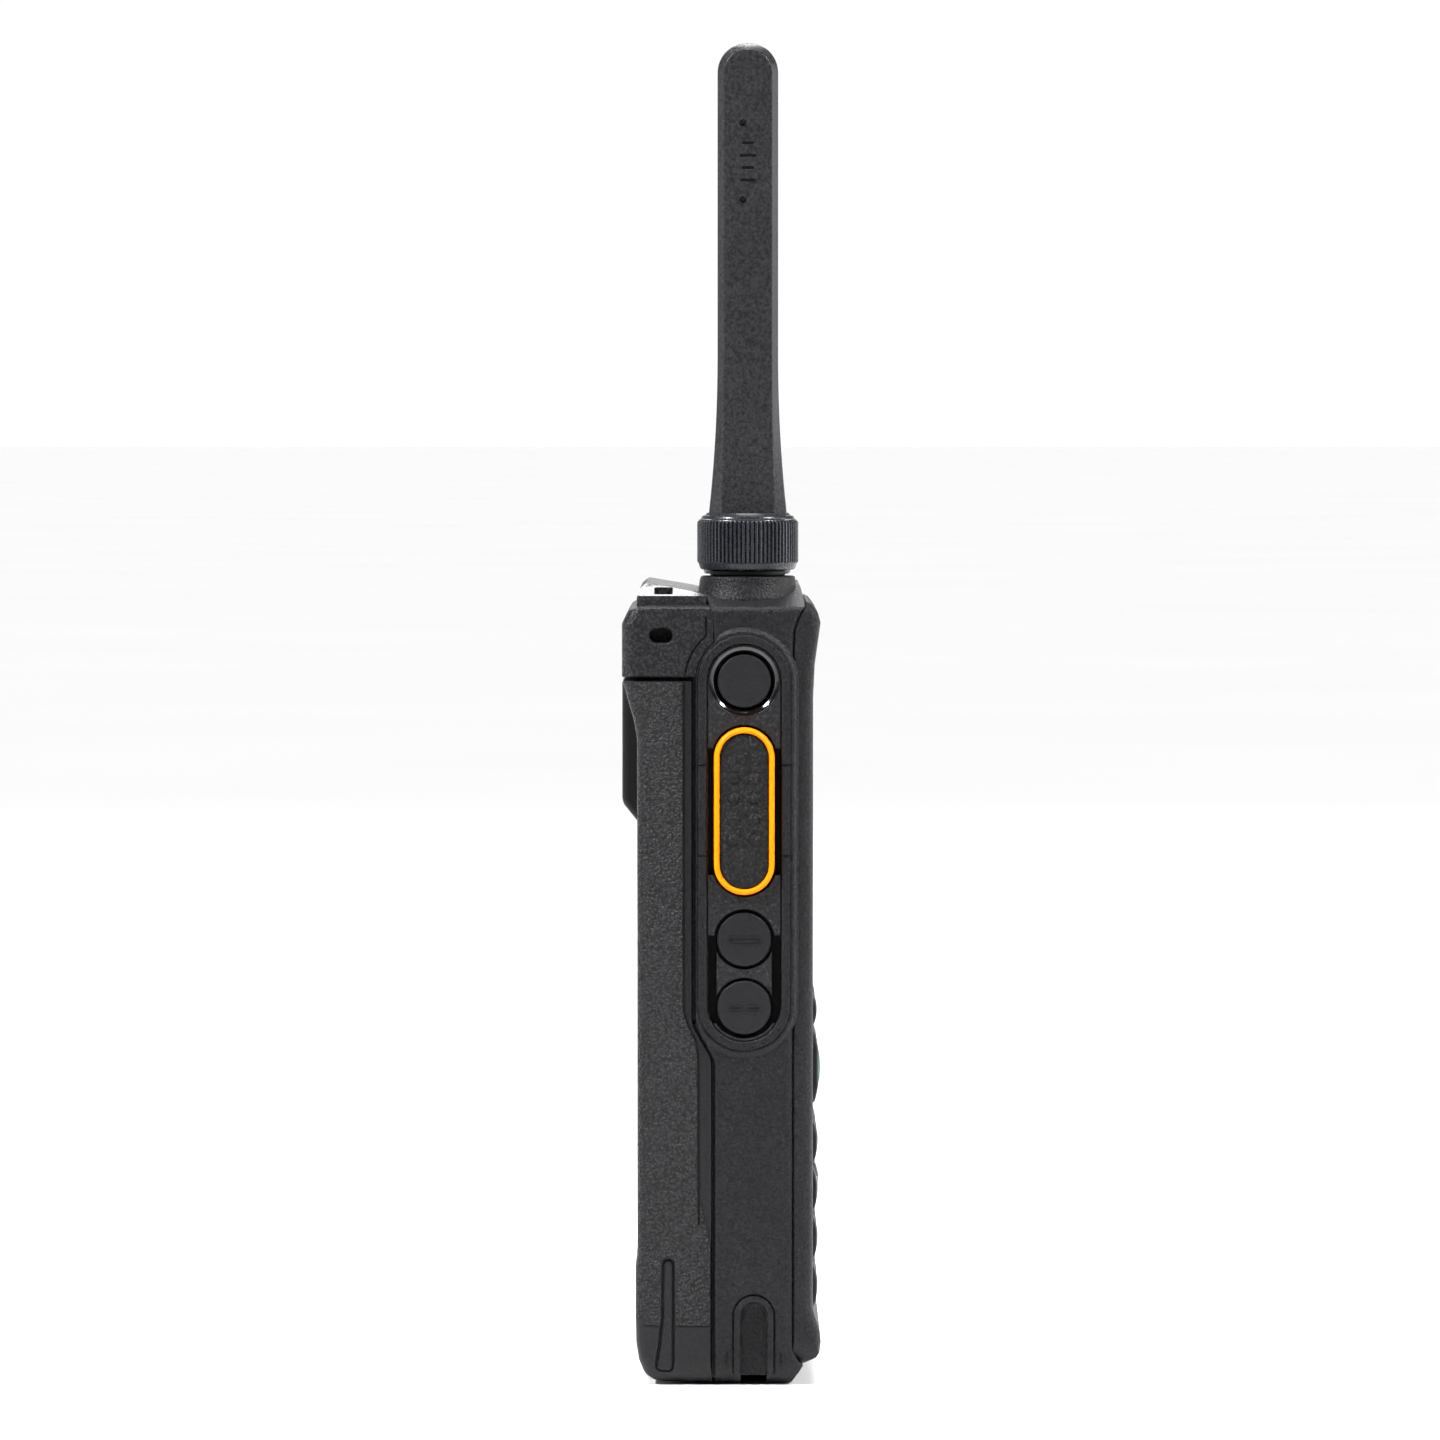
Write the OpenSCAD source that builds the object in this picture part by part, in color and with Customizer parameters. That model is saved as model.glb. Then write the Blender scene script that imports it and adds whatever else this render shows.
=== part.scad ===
// Handheld two way radio: housing, front cover, battery pack, antenna, knob and keys.
// +Z is up, the front faces -Y and the push-to-talk side faces -X. The origin lies on the
// base plane, under the middle of the housing and battery.

/* [Body] */
// Width of the housing across the front face
body_w = 55; // [54:0.5:58]
// Height of the crown of the housing above the base
crown_z = 129.2; // [129:0.1:129.6]
// Height of the side walls, where the sloped shoulders begin
shoulder_z = 125.6; // [125.2:0.1:126]
// Wall thickness of the side walls of the housing
wall = 2.3; // [2.1:0.1:2.4]
// Gap that shows between the housing and what sits behind it
seam_gap = 0.5; // [0.3:0.05:0.6]

/* [Side keys] */
// Radius of the recess that holds the side key panel
recess_r = 5.93; // [5.9:0.01:6]
// Height of the raised rim above the side of the housing
rim_h = 0.7; // [0.4:0.1:0.9]
// Radius of the round key above the push-to-talk key
top_key_r = 4.2; // [4:0.05:4.3]
// Radius of the two round keys below the push-to-talk key
low_key_r = 4.35; // [4.2:0.05:4.35]
// Half width of the push-to-talk key
ptt_r = 4.9; // [4.8:0.05:4.9]
// Length of the push-to-talk key
ptt_len = 27; // [26:0.5:27.5]
// Width of the coloured ring round the push-to-talk key
ptt_ring_w = 0.95; // [0.8:0.05:1.1]

/* [Front keys] */
// Width of a number key
num_w = 13.6; // [13:0.1:13.6]
// Height of a number key
num_h = 6.7; // [6.4:0.1:6.7]
// Distance between two columns of number keys
num_dx = 15.4; // [15.4:0.1:15.6]
// Distance between two rows of number keys
num_dz = 7.8; // [7.8:0.05:7.9]
// How far a number key stands proud of the front face
key_proud = 0.9; // [0.7:0.05:1]
// Gap round each front key
key_gap = 0.25; // [0.2:0.05:0.3]

/* [Antenna] */
// Height of the antenna's tip above the base
tip_z = 216.7; // [200:0.1:225]
// Half width of the whip, seen from the side of the radio
whip_ry = 4.9; // [4.6:0.05:5.1]
// Half thickness of the whip, seen from the front
whip_rx = 4.1; // [3.8:0.05:4.5]
// Radius of the grip collar at the foot of the antenna
collar_r = 8.2; // [7.9:0.05:8.2]

/* [Hidden] */

$fn = 64;
eps = 0.05;

// Planes along the depth of the radio
front_y = -14.2;      // front face of the cover
plate_y = -12.0;      // back of the cover's front plate
joint_y = -10.9;      // joint between the cover and the housing
rear_low_y = 1.6;     // back of the housing below its step
rear_high_y = 4.7;    // back of the housing above its step
back_y = 14.15;       // back face of the battery
boss_y = 16.7;        // back face of the belt clip plate
half_w = body_w / 2;
inner_w = half_w - wall;

// Side keys: heights, and their common line on the side of the radio
key_y = -3.1;
top_key_z = 113.8;
ptt_z = 92.9;
minus_z = 72.2;
dash_z = 61.2;
low_arc_z = 61.7;     // centre of the lower round end of the recess
panel_x = -27.9;      // outer face of the side key panel
panel_back_x = -25.4; // inner face of the side key panel
key_x = -28.0;        // outer face of the round side keys
ptt_x = -29.1;        // outer face of the push-to-talk key
flange_x = -25.0;     // outer face of the retaining flanges
flange_t = 0.6;
switch_x = -23.7;     // tip of the switches behind the round side keys
ptt_switch_x = -23.2; // tip of the switch behind the push-to-talk key
rim_r = 7.4;

// Top: antenna and knob stand at the same depth, each side of the emergency button
top_y = -3.7;
antenna_x = -15.5;
knob_x = 15.5;
seat_z = 130.5;
knob_seat_z = 129.4;
cavity_top_z = 121.5;
button_y = -4.2;
stud_r = 3.0;
running = 0.05;       // radial clearance of a turning fit

// Front layout
lens_z0 = 65.0;
lens_z1 = 97.6;
lens_hw = 22.5;
row_1_z = 38.8;
key_flange_y = -11.8;
flange_back_y = -11.2;
nav_z0 = 45.2;
nav_z1 = 56.9;
nav_hw = 9.8;
call_x0 = 12.0;
call_x1 = 23.6;
soft_z0 = 58.0;
ok_r = 3.95;
ok_hole_r = 4.3;
soft_z1 = 62.6;
soft_x0 = 4.4;

// Accessory socket on the right side
cover_z0 = 84.0;
cover_z1 = 112.0;
cover_y0 = -9.2;
cover_y1 = 2.8;
screw_y = -3.2;
screw_z = 107.6;
screw_r = 1.5;

// Battery
batt_low_y = rear_low_y + seam_gap;
batt_high_y = rear_high_y + seam_gap + eps;
batt_top_z = 113.9;
batt_hw = 27.2;
batt_in_hw = 25.4;
lid_t = 1.4;
clip_hw = 14;
clip_z = 103;
clip_spacing = 16;
insert_r = 2.1;
tap_r = 1.25;

// ---------- helpers ----------

// Extrudes a (y, z) outline from x0 to x1
module along_x(x0, x1) {
    translate([x0, 0, 0]) rotate([90, 0, 90]) linear_extrude(x1 - x0) children();
}

// Extrudes an (x, z) outline from y0 to y1
module along_y(y0, y1) {
    translate([0, y1, 0]) rotate([90, 0, 0]) linear_extrude(y1 - y0) children();
}

// Rectangle with round corners, from its lowest to its highest corner
module round_rect(x0, y0, x1, y1, r) {
    translate([x0 + r, y0]) square([x1 - x0 - 2 * r, y1 - y0]);
    translate([x0, y0 + r]) square([x1 - x0, y1 - y0 - 2 * r]);
    for (x = [x0 + r, x1 - r], y = [y0 + r, y1 - r]) translate([x, y]) circle(r);
}

// Upright slot shape with round ends, between two end centres
module slot(r, y, z0, z1) {
    translate([y, z0]) circle(r);
    translate([y, z1]) circle(r);
    translate([y - r, z0]) square([2 * r, z1 - z0]);
}

// Points of an arc from angle a0 to a1
function arc(cy, cz, r, a0, a1, n = 8) =
    [for (i = [0:n]) let (a = a0 + (a1 - a0) * i / n) [cy + r * cos(a), cz + r * sin(a)]];

// ---------- housing ----------

// Side outline of the housing. Its back steps forward below the side keys, and follows
// the round end of the key recess near the top.
module housing_side() {
    polygon(concat(
        [[-10.5, 0], [rear_low_y, 0], [rear_low_y, 52.6], [rear_high_y, 58.2],
         [rear_high_y, top_key_z]],
        arc(key_y, top_key_z, rear_high_y - key_y, 5, 52),
        [[1.7, 124.2], [4.7, 127.1], [4.6, 128.6], [3.6, crown_z + 1], [-11.6, crown_z + 1],
         [-12.2, 127.9], [-12.5, 125.7], [-11.7, 123], [joint_y, 113], [joint_y, 5.6],
         [-11.8, 3.9], [-12.7, 3.3], [-11.7, 1.8]]
    ));
}

// Front outline of the housing: round lower corners and sloped shoulders
module housing_front() {
    r = 5;
    translate([-half_w + r, 0]) square([body_w - 2 * r, r]);
    for (side = [-1, 1]) translate([side * (half_w - r), r]) circle(r);
    polygon([
        [-half_w, r], [half_w, r], [half_w, shoulder_z - 0.6], [half_w - 0.5, shoulder_z],
        [15, crown_z], [-15, crown_z], [-half_w + 0.5, shoulder_z], [-half_w, shoulder_z - 0.6]
    ]);
}

// Round seats under the antenna and the knob
module top_bosses() {
    boss_foot_z = 126.65;
    translate([antenna_x, top_y, boss_foot_z]) {
        cylinder(r = 8.7, h = 127 - boss_foot_z);
        translate([0, 0, 127 - boss_foot_z]) cylinder(r1 = 8.7, r2 = 7.75, h = seat_z - 127);
    }
    translate([knob_x, top_y, boss_foot_z]) cylinder(r = 8.0, h = knob_seat_z - boss_foot_z);
}

module main_housing() color([0.12, 0.12, 0.13]) difference() {
    union() {
        intersection() {
            along_x(-half_w, half_w) housing_side();
            along_y(-20, 20) housing_front();
        }
        top_bosses();
        along_x(-half_w - rim_h, -half_w) slot(rim_r, key_y, low_arc_z, top_key_z);
    }
    difference() {
        along_y(joint_y - eps, 6) round_rect(-inner_w, 2.2, inner_w, cavity_top_z, 2.5);
        along_x(20, 26) translate([screw_y, screw_z]) circle(3);
    }
    // room for the speaker, in front of the joint with the cover
    along_y(-13, joint_y) round_rect(-inner_w, 99, inner_w, cavity_top_z, 2.5);
    along_x(-30, -inner_w + eps) slot(recess_r, key_y, low_arc_z, top_key_z);
    translate([antenna_x, top_y, 121]) cylinder(r = 5, h = 12);
    translate([knob_x, top_y, 121]) cylinder(r = 4.5, h = 12);
    translate([0, button_y, 121]) cylinder(r = 4.6, h = 12);
    translate([-3, -11.1, 121]) cube([6, 1.6, 12]);
    along_x(25.9, 30) round_rect(cover_y0, cover_z0, cover_y1, cover_z1, 2.5);
    along_x(24, 30) round_rect(-7.2, 88, 0.8, 104, 1);
    along_x(19, 30) translate([screw_y, screw_z]) circle(screw_r + running);
    charger_guides();
    translate([-6.2, -0.4, 0.55]) cube([12.4, 2.4, 1.1]);
}

// Guide channels low on both sides, and the groove under the base that joins them
module charger_guides() {
    guide_y = -4.7;
    guide_r = 2.1;
    depth = 1.6;
    for (x0 = [-half_w - 1, half_w - depth])
        along_x(x0, x0 + depth + 1) slot(guide_r, guide_y, -1, 10.9);
    along_x(-half_w - 1, half_w + 1)
        translate([guide_y - guide_r, -1]) square([2 * guide_r, 2.6]);
}

// ---------- front cover ----------

// Side outline of the cover, with a lip at the top and at the bottom
module cover_side() {
    polygon([
        [joint_y, 5.6], [joint_y, 113], [-11.7, 123], [-12.5, 125.5], [-13.6, 125.3],
        [-14.9, 124.5], [-15.4, 123.3], [-15.3, 121.8], [-14.7, 118.6], [front_y, 112.5],
        [front_y, 12.2], [-14.6, 10.9], [-15.3, 8.9], [-15.5, 7.2], [-15.3, 5.2],
        [-14.7, 4.3], [-12.75, 3.35], [-11.8, 3.9]
    ]);
}

module front_cover() color([0.13, 0.13, 0.14]) difference() {
    intersection() {
        along_x(-half_w, half_w) cover_side();
        along_y(-20, 0) round_rect(-half_w, 3.2, half_w, 125.6, 5);
    }
    along_y(plate_y, joint_y + 1) round_rect(-inner_w, 6, inner_w, 121, 2);
    along_y(-20, front_y + 1.1) round_rect(-lens_hw, lens_z0, lens_hw, lens_z1, 2);
    along_y(-20, -11) round_rect(-20.5, 67, 20.5, 95.6, 0.6);
    speaker_slots();
    along_y(-20, -11) {
        for (k = number_keys) translate([k[1], k[2]]) key_outline(num_w, num_h, 2.2, key_gap);
        for (side = [-1, 1]) {
            translate([side * (call_x0 + call_x1) / 2, (nav_z0 + nav_z1) / 2])
                key_outline(call_x1 - call_x0, nav_z1 - nav_z0, 3, key_gap);
            translate([side * (soft_x0 + call_x1) / 2, (soft_z0 + soft_z1) / 2])
                key_outline(call_x1 - soft_x0, soft_z1 - soft_z0, 1.8, key_gap);
        }
        translate([0, (nav_z0 + nav_z1) / 2]) key_outline(2 * nav_hw, nav_z1 - nav_z0, 4, key_gap);
        translate([-20, 9]) circle(0.6);
    }
}

// Five slots with round ends over the speaker, longer towards the middle
module speaker_slots() {
    half_len = [9, 13, 15, 13, 9];
    for (i = [0:4])
        along_y(-20, -11) translate([0, 102 + 3.5 * i])
            round_rect(-half_len[i], -0.75, half_len[i], 0.75, 0.74);
}

module key_outline(w, h, r, grow = 0) {
    round_rect(-w / 2 - grow, -h / 2 - grow, w / 2 + grow, h / 2 + grow, r);
}

// ---------- rear cap ----------

// Lower tier of the cap: its front edge follows the housing at an even gap
module cap_lower_side() {
    polygon(concat(
        arc(key_y, top_key_z, rear_high_y - key_y + 0.4, 3, 52),
        [[2.1, 124.0], [5.1, 126.6], [14.2, 125.3], [16.6, 122.9], [16.6, 114.35]]
    ));
}

// Upper tier: a low wedge that falls towards the antenna
module cap_upper_side() {
    polygon([[5.1, 124], [5.1, 127.6], [5.9, 128.4], [12.6, 129.5], [13.6, 128.9],
             [14.3, 127.1], [14.3, 124]]);
}

module rear_cap() color([0.13, 0.13, 0.14]) difference() {
    union() {
        intersection() {
            along_x(-27.3, 27.3) cap_lower_side();
            along_y(-20, 20) housing_front();
        }
        intersection() {
            along_x(-26.2, 26.2) cap_upper_side();
            along_y(-20, 20) polygon([[-26.2, 120], [26.2, 120], [26.2, 127.6], [17, 129.5],
                                      [-17, 129.5], [-26.2, 127.6]]);
        }
        // tongue that closes the back of the housing above the chassis
        translate([-24.6, 2.7, 114.35]) cube([49.2, 5.3, 6.8]);
    }
    // strap passage: in through the side, out through the top
    along_x(-30, -22) translate([10.3, 121.1]) round_rect(-1.8, -1.2, 1.8, 1.2, 1.19);
    translate([-25.4, 8.4, 121]) cube([3.2, 3.0, 12]);
    // hollow underside
    translate([-19, 8, 114]) cube([43, 6.5, 8.5]);
}

// ---------- chassis and inner parts ----------

module chassis_side() {
    polygon([[-0.6, 2.4], [1.4, 2.4], [1.4, 52.4], [4.5, 58.0], [4.5, 113.7],
             [2.5, 113.7], [2.5, 58.6], [-0.6, 53.0]]);
}

screw_places = [[-21.5, 8], [21.5, 8], [-21.5, 48], [21.5, 48],
                [-21.5, 63], [21.5, 63], [-21.5, 108], [21.5, 108]];

module rear_chassis() color([0.62, 0.63, 0.64]) difference() {
    intersection() {
        along_x(-inner_w + eps, inner_w - eps) chassis_side();
        // the lower corners follow the round corners of the cavity
        along_y(-5, 6) round_rect(-inner_w, 2.4, inner_w, 120, 2.6);
    }
    along_y(-5, 6) round_rect(-11.2, 37.8, 11.2, 46.2, 0.6);
    for (p = screw_places) along_y(-5, 6) translate(p) circle(1.6);
    // shallow field that lightens the plate
    along_y(1.0, 2) round_rect(-18, 12, 18, 34, 2);
    along_y(4.1, 5) round_rect(-18, 66, 18, 106, 2);
}

module chassis_screws() color([0.35, 0.35, 0.36]) for (p = screw_places) {
    top = p[1] < 55 ? 1.4 : 4.5;
    difference() {
        union() {
            along_y(top, top + 0.35) translate(p) circle(2.4);
            along_y(top - 3, top) translate(p) circle(1.5);
        }
        along_y(top - 0.6, top + 1) translate(p) circle(0.9, $fn = 6);
    }
}

module antenna_socket() color([0.72, 0.58, 0.28]) translate([antenna_x, top_y, 0]) difference() {
    translate([0, 0, 122]) cylinder(r = 4.95, h = 8.2);
    translate([0, 0, 124.3]) cylinder(r = stud_r + running, h = 8);
}

module rotary_encoder() color([0.3, 0.3, 0.32]) difference() {
    union() {
        translate([knob_x, top_y, 121]) cylinder(r = 4.45, h = 8.8);
        translate([knob_x - 6, -6.0, 115]) cube([12, 7.4, 6.4]);
    }
    translate([knob_x, top_y, 123]) cylinder(r = stud_r + running, h = 9);
}

module led_window() color([0.75, 0.85, 0.75])
    translate([-2.9, -11.0, 121.6]) cube([5.8, 1.4, 7.3]);

module speaker() color([0.2, 0.2, 0.21]) {
    along_y(-11.8, -8.6) round_rect(-18.6, 99.7, 18.6, 118.3, 9.2);
    along_y(-8.6, -6.2) translate([0, 109]) circle(8);
}

module microphone() color([0.6, 0.6, 0.55])
    along_y(-11.8, -10.4) translate([-20, 9]) circle(1.8);

module lcd_window() color([0.05, 0.05, 0.07])
    along_y(front_y + 0.1, front_y + 1.1)
        round_rect(-lens_hw + 0.1, lens_z0 + 0.1, lens_hw - 0.1, lens_z1 - 0.1, 2);

module lcd_module() color([0.3, 0.32, 0.36])
    along_y(-11.8, -9.2) round_rect(-22, 64.6, 22, 97, 0.8);

module keypad_sheet() color([0.3, 0.3, 0.3])
    along_y(-10.5, -9.7) difference() {
        round_rect(-24, 11, 24, 63.4, 1);
        translate([0, (nav_z0 + nav_z1) / 2]) circle(6.6);
    }

module main_board() color([0.05, 0.28, 0.16])
    along_y(-9.0, -7.8) round_rect(-21, 4, 24.6, 98, 1);

module shield_cans() color([0.7, 0.7, 0.72]) {
    along_y(-7.7, -4.8) round_rect(-19, 60, -1, 95, 1);
    along_y(-7.7, -4.8) round_rect(1, 60, 21, 95, 1);
    along_y(-7.7, -4.8) round_rect(-17, 12, 19, 34, 1);
}

module contact_block() color([0.15, 0.15, 0.16]) {
    along_y(-3, 1.5) round_rect(-11, 38, 11, 46, 0.5);
    for (x = [-7.5, -2.5, 2.5, 7.5]) along_y(1.5, 2.0) translate([x, 42]) circle(0.9);
}

// Tactile switches on their strip, one behind each side key
module side_switches() color([0.25, 0.25, 0.2]) {
    for (z = [top_key_z, minus_z, dash_z])
        along_x(switch_x, -22) translate([key_y, z]) circle(1.8);
    along_x(ptt_switch_x, -22) translate([key_y, ptt_z]) circle(1.8);
    along_x(-22, -21.5) round_rect(-6, 57, 0, 118, 1);
}

module accessory_connector() color([0.1, 0.1, 0.1])
    along_x(22.5, 25.9) round_rect(-7.1, 88.1, 0.7, 103.9, 0.9);

// ---------- side keys ----------

module side_key_panel() color([0.14, 0.14, 0.15]) difference() {
    along_x(panel_x, panel_back_x) slot(recess_r - eps, key_y, low_arc_z, top_key_z);
    // dished seat and hole of the top key
    along_x(-30, -24) translate([key_y, top_key_z]) circle(top_key_r + 0.3);
    translate([panel_x - 0.1, key_y, top_key_z]) rotate([0, 90, 0])
        cylinder(r1 = 5.7, r2 = top_key_r + 0.5, h = 1.4);
    along_x(-30, -24) slot(ptt_r + 0.25, key_y, ptt_z - ptt_len / 2 + ptt_r, ptt_z + ptt_len / 2 - ptt_r);
    // lower pocket: a moat round the island that carries the two lower keys
    difference() {
        along_x(-30, panel_x + 1.3) slot(5.5, key_y, low_arc_z, 71.5);
        along_x(-31, -26) translate([key_y - 4.4, 61.2]) square([8.8, 11]);
    }
    for (z = [minus_z, dash_z]) along_x(-30, -24) translate([key_y, z]) circle(low_key_r + 0.25);
}

module round_side_key(r, z) {
    along_x(key_x, flange_x) translate([key_y, z]) circle(r);
    along_x(flange_x, flange_x + flange_t) translate([key_y, z]) circle(r + 0.75);
}

module top_key() color([0.1, 0.1, 0.11]) round_side_key(top_key_r, top_key_z);

module key_minus() color([0.1, 0.1, 0.11]) round_side_key(low_key_r, minus_z);

module key_dash() color([0.1, 0.1, 0.11]) round_side_key(low_key_r, dash_z);

module ptt_slot(r) {
    slot(r, key_y, ptt_z - ptt_len / 2 + ptt_r, ptt_z + ptt_len / 2 - ptt_r);
}

module ptt_ring() color([1.0, 0.45, 0.0]) difference() {
    along_x(ptt_x + 0.1, flange_x) ptt_slot(ptt_r);
    along_x(ptt_x, flange_x + 1) ptt_slot(ptt_r - ptt_ring_w);
}

module ptt_pad() color([0.1, 0.1, 0.11]) {
    along_x(ptt_x, flange_x) ptt_slot(ptt_r - ptt_ring_w - 0.02);
    along_x(flange_x, flange_x + flange_t) ptt_slot(ptt_r + 0.5);
}

// ---------- front keys ----------

// Name, x and z of each number key
number_keys = [for (row = [0:3], col = [0:2])
    [row * 3 + col, (col - 1) * num_dx, row_1_z - row * num_dz]];

// A key cap whose face is an arc, with a flange behind the cover
module front_key(x, z, w, h, r, proud) {
    dome = (h * h / 4 + proud * proud) / (2 * proud);
    color([0.11, 0.11, 0.12]) {
        intersection() {
            along_y(front_y - proud, key_flange_y) translate([x, z]) key_outline(w, h, r);
            translate([x - w, front_y - proud + dome + 0.25, z]) rotate([0, 90, 0])
                cylinder(r = dome + 0.25, h = 2 * w);
        }
        along_y(key_flange_y - 0.4, flange_back_y) translate([x, z])
            round_rect(-w / 2 + 0.3, -h / 2 + 0.3, w / 2 - 0.3, h / 2 - 0.3, r - 0.3);
        along_y(key_flange_y, flange_back_y) translate([x, z])
            round_rect(-w / 2 - 0.6, -h / 2 - 0.3, w / 2 + 0.6, h / 2 + 0.3, r);
    }
}

module number_key(i) {
    front_key(number_keys[i][1], number_keys[i][2], num_w, num_h, 2.2, i == 4 ? 1.2 : key_proud);
}

module call_or_end(side) {
    front_key(side * (call_x0 + call_x1) / 2, (nav_z0 + nav_z1) / 2,
              call_x1 - call_x0, nav_z1 - nav_z0, 3, 1.2);
}

module soft_key(side) {
    front_key(side * (soft_x0 + call_x1) / 2, (soft_z0 + soft_z1) / 2,
              call_x1 - soft_x0, soft_z1 - soft_z0, 1.8, 0.75);
}

// Four-way pad: a domed ring that rocks on the post behind it, round the select key
module nav_pad() color([0.11, 0.11, 0.12]) {
    w = 2 * nav_hw;
    h = nav_z1 - nav_z0;
    nav_z = (nav_z0 + nav_z1) / 2;
    proud = 1.1;
    dome = (h * h / 4 + proud * proud) / (2 * proud);
    difference() {
        union() {
            intersection() {
                along_y(front_y - proud, -11.45) translate([0, nav_z]) key_outline(w, h, 4);
                translate([-w, front_y - proud + dome + 0.25, nav_z]) rotate([0, 90, 0])
                    cylinder(r = dome + 0.25, h = 2 * w);
            }
            along_y(-11.5, -11.0) translate([0, nav_z]) round_rect(-w / 2 - 0.6, -h / 2 - 0.3,
                                                               w / 2 + 0.6, h / 2 + 0.3, 4);
        }
        along_y(-20, 0) translate([0, nav_z]) circle(ok_hole_r);
    }
}

module nav_post() color([0.3, 0.3, 0.3])
    along_y(-10.65, -9.9) translate([0, (nav_z0 + nav_z1) / 2]) difference() {
        circle(6);
        circle(ok_hole_r);
    }

module ok_key() color([0.11, 0.11, 0.12]) intersection() {
    along_y(-15.3, -10.9) translate([0, (nav_z0 + nav_z1) / 2]) circle(ok_r);
    translate([0, 4.3, (nav_z0 + nav_z1) / 2]) sphere(r = 19.6);
}

// ---------- antenna, knob and top button ----------

// Half width of the whip across the radio's side, and half thickness across its front
function whip_grow(z) = let (t = max(0, (166 - z) / 25.3)) 1.4 * t * t;
function dome(z) = z < tip_z - whip_ry ? 1 : sqrt(max(0, 1 - pow((z - tip_z + whip_ry) / whip_ry, 2)));
whip_heights = [140.75, 145, 150, 155, 160, 166, 190, tip_z - whip_ry,
                for (a = [15:15:75]) tip_z - whip_ry + whip_ry * sin(a), tip_z - 0.05];
// Corners of one cross section: a flat face on each side with bevelled edges
function whip_ring(z) = let (g = whip_grow(z), d = dome(z),
                             ry = (whip_ry + g) * d, rx = (whip_rx + g) * d)
    [for (p = [[-1, -0.72], [-1, 0.72], [-0.72, 1], [0.72, 1], [1, 0.72], [1, -0.72],
               [0.72, -1], [-0.72, -1]]) [antenna_x + p[0] * rx, top_y + p[1] * ry, z]];

module antenna_whip() color([0.12, 0.12, 0.13]) {
    n = 8;
    last = len(whip_heights) - 1;
    difference() {
        polyhedron(
            points = [for (z = whip_heights) each whip_ring(z)],
            faces = concat(
                [[for (i = [0:n - 1]) i]],
                [for (k = [0:last - 1], i = [0:n - 1])
                    [k * n + i, (k + 1) * n + i, (k + 1) * n + (i + 1) % n, k * n + (i + 1) % n]],
                [[for (i = [n - 1:-1:0]) last * n + i]]
            )
        );
        translate([antenna_x, top_y, 142]) cylinder(r = 2.3, h = 58);
    }
}

module antenna_coil() color([0.75, 0.5, 0.3]) translate([antenna_x, top_y, 142.5]) difference() {
    cylinder(r = 2.2, h = 57);
    translate([0, 0, -1]) cylinder(r = 1.6, h = 60);
}

module antenna_collar() color([0.08, 0.08, 0.09]) translate([antenna_x, top_y, 0]) difference() {
    union() {
        translate([0, 0, 131.5]) cylinder(r1 = 7.7, r2 = 7.95, h = 1.1);
        translate([0, 0, 132.6]) cylinder(r = collar_r, h = 6.9);
        translate([0, 0, 139.5]) cylinder(r1 = collar_r - 0.15, r2 = 6.95, h = 1.2);
    }
    translate([0, 0, 131]) cylinder(r = stud_r, h = 5);
}

module antenna_stud() color([0.8, 0.68, 0.35])
    translate([antenna_x, top_y, 124.6]) cylinder(r = stud_r, h = 11.4);

module antenna_seal() color([0.1, 0.1, 0.1]) translate([antenna_x, top_y, seat_z + 0.05]) difference() {
    cylinder(r = 6.2, h = 0.9);
    translate([0, 0, -1]) cylinder(r = stud_r + 0.2, h = 3);
}

module volume_knob() color([0.1, 0.1, 0.11]) translate([knob_x, top_y, 0]) difference() {
    union() {
        translate([0, 0, 130.2]) cylinder(r = 7.3, h = 8.0);
        translate([0, 0, 138.2]) cylinder(r1 = 7.3, r2 = 6.4, h = 1.1);
    }
    translate([0, 0, 130]) cylinder(r = stud_r, h = 6);
}

module knob_shaft() color([0.6, 0.6, 0.62])
    translate([knob_x, top_y, 123.4]) cylinder(r = stud_r, h = 12.6);

module emergency_button() color([0.95, 0.35, 0.05]) translate([0, button_y, 0]) {
    translate([0, 0, 121.2]) cylinder(r = 4.35, h = 9.1);
    translate([0, 0, 120.3]) cylinder(r = 5.2, h = 0.9);
}

// ---------- accessory cover ----------

module accessory_cover() color([0.12, 0.12, 0.12]) difference() {
    along_x(26.0, 27.9)
        round_rect(cover_y0 + 0.2, cover_z0 + 0.2, cover_y1 - 0.2, cover_z1 - 0.2, 2.3);
    along_x(20, 30) translate([screw_y, screw_z]) circle(screw_r + running);
}

module cover_screw() color([0.5, 0.5, 0.52]) difference() {
    union() {
        along_x(28.0, 29.6) translate([screw_y, screw_z]) circle(3.2);
        along_x(23.6, 28.0) translate([screw_y, screw_z]) circle(screw_r);
    }
    along_x(28.9, 30) translate([screw_y - 0.5, screw_z - 4]) square([1, 8]);
}

// ---------- battery ----------

// Side outline of the pack: a step at the front that matches the housing, a round lower
// corner, and a back that flares at the top to meet the rear cap
module battery_side() {
    polygon([
        [batt_low_y, 0.1], [11.1, 0.65], [12.8, 1.7], [13.8, 4.1], [14.3, 6.8], [14.45, 10.9],
        [14.45, 19.2], [back_y, 20.8], [back_y, 104.5], [14.6, 107.3], [15.5, 110.5],
        [16.4, 113.4], [16.4, batt_top_z], [batt_high_y, batt_top_z], [batt_high_y, 58.4],
        [batt_low_y, 52.9]
    ]);
}

module lid_side() {
    polygon([
        [batt_low_y, 1.9], [batt_low_y + lid_t, 1.9], [batt_low_y + lid_t, 52.3],
        [batt_high_y + lid_t, 57.8], [batt_high_y + lid_t, 112.3], [batt_high_y, 112.3],
        [batt_high_y, 58.4], [batt_low_y, 52.9]
    ]);
}

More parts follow.
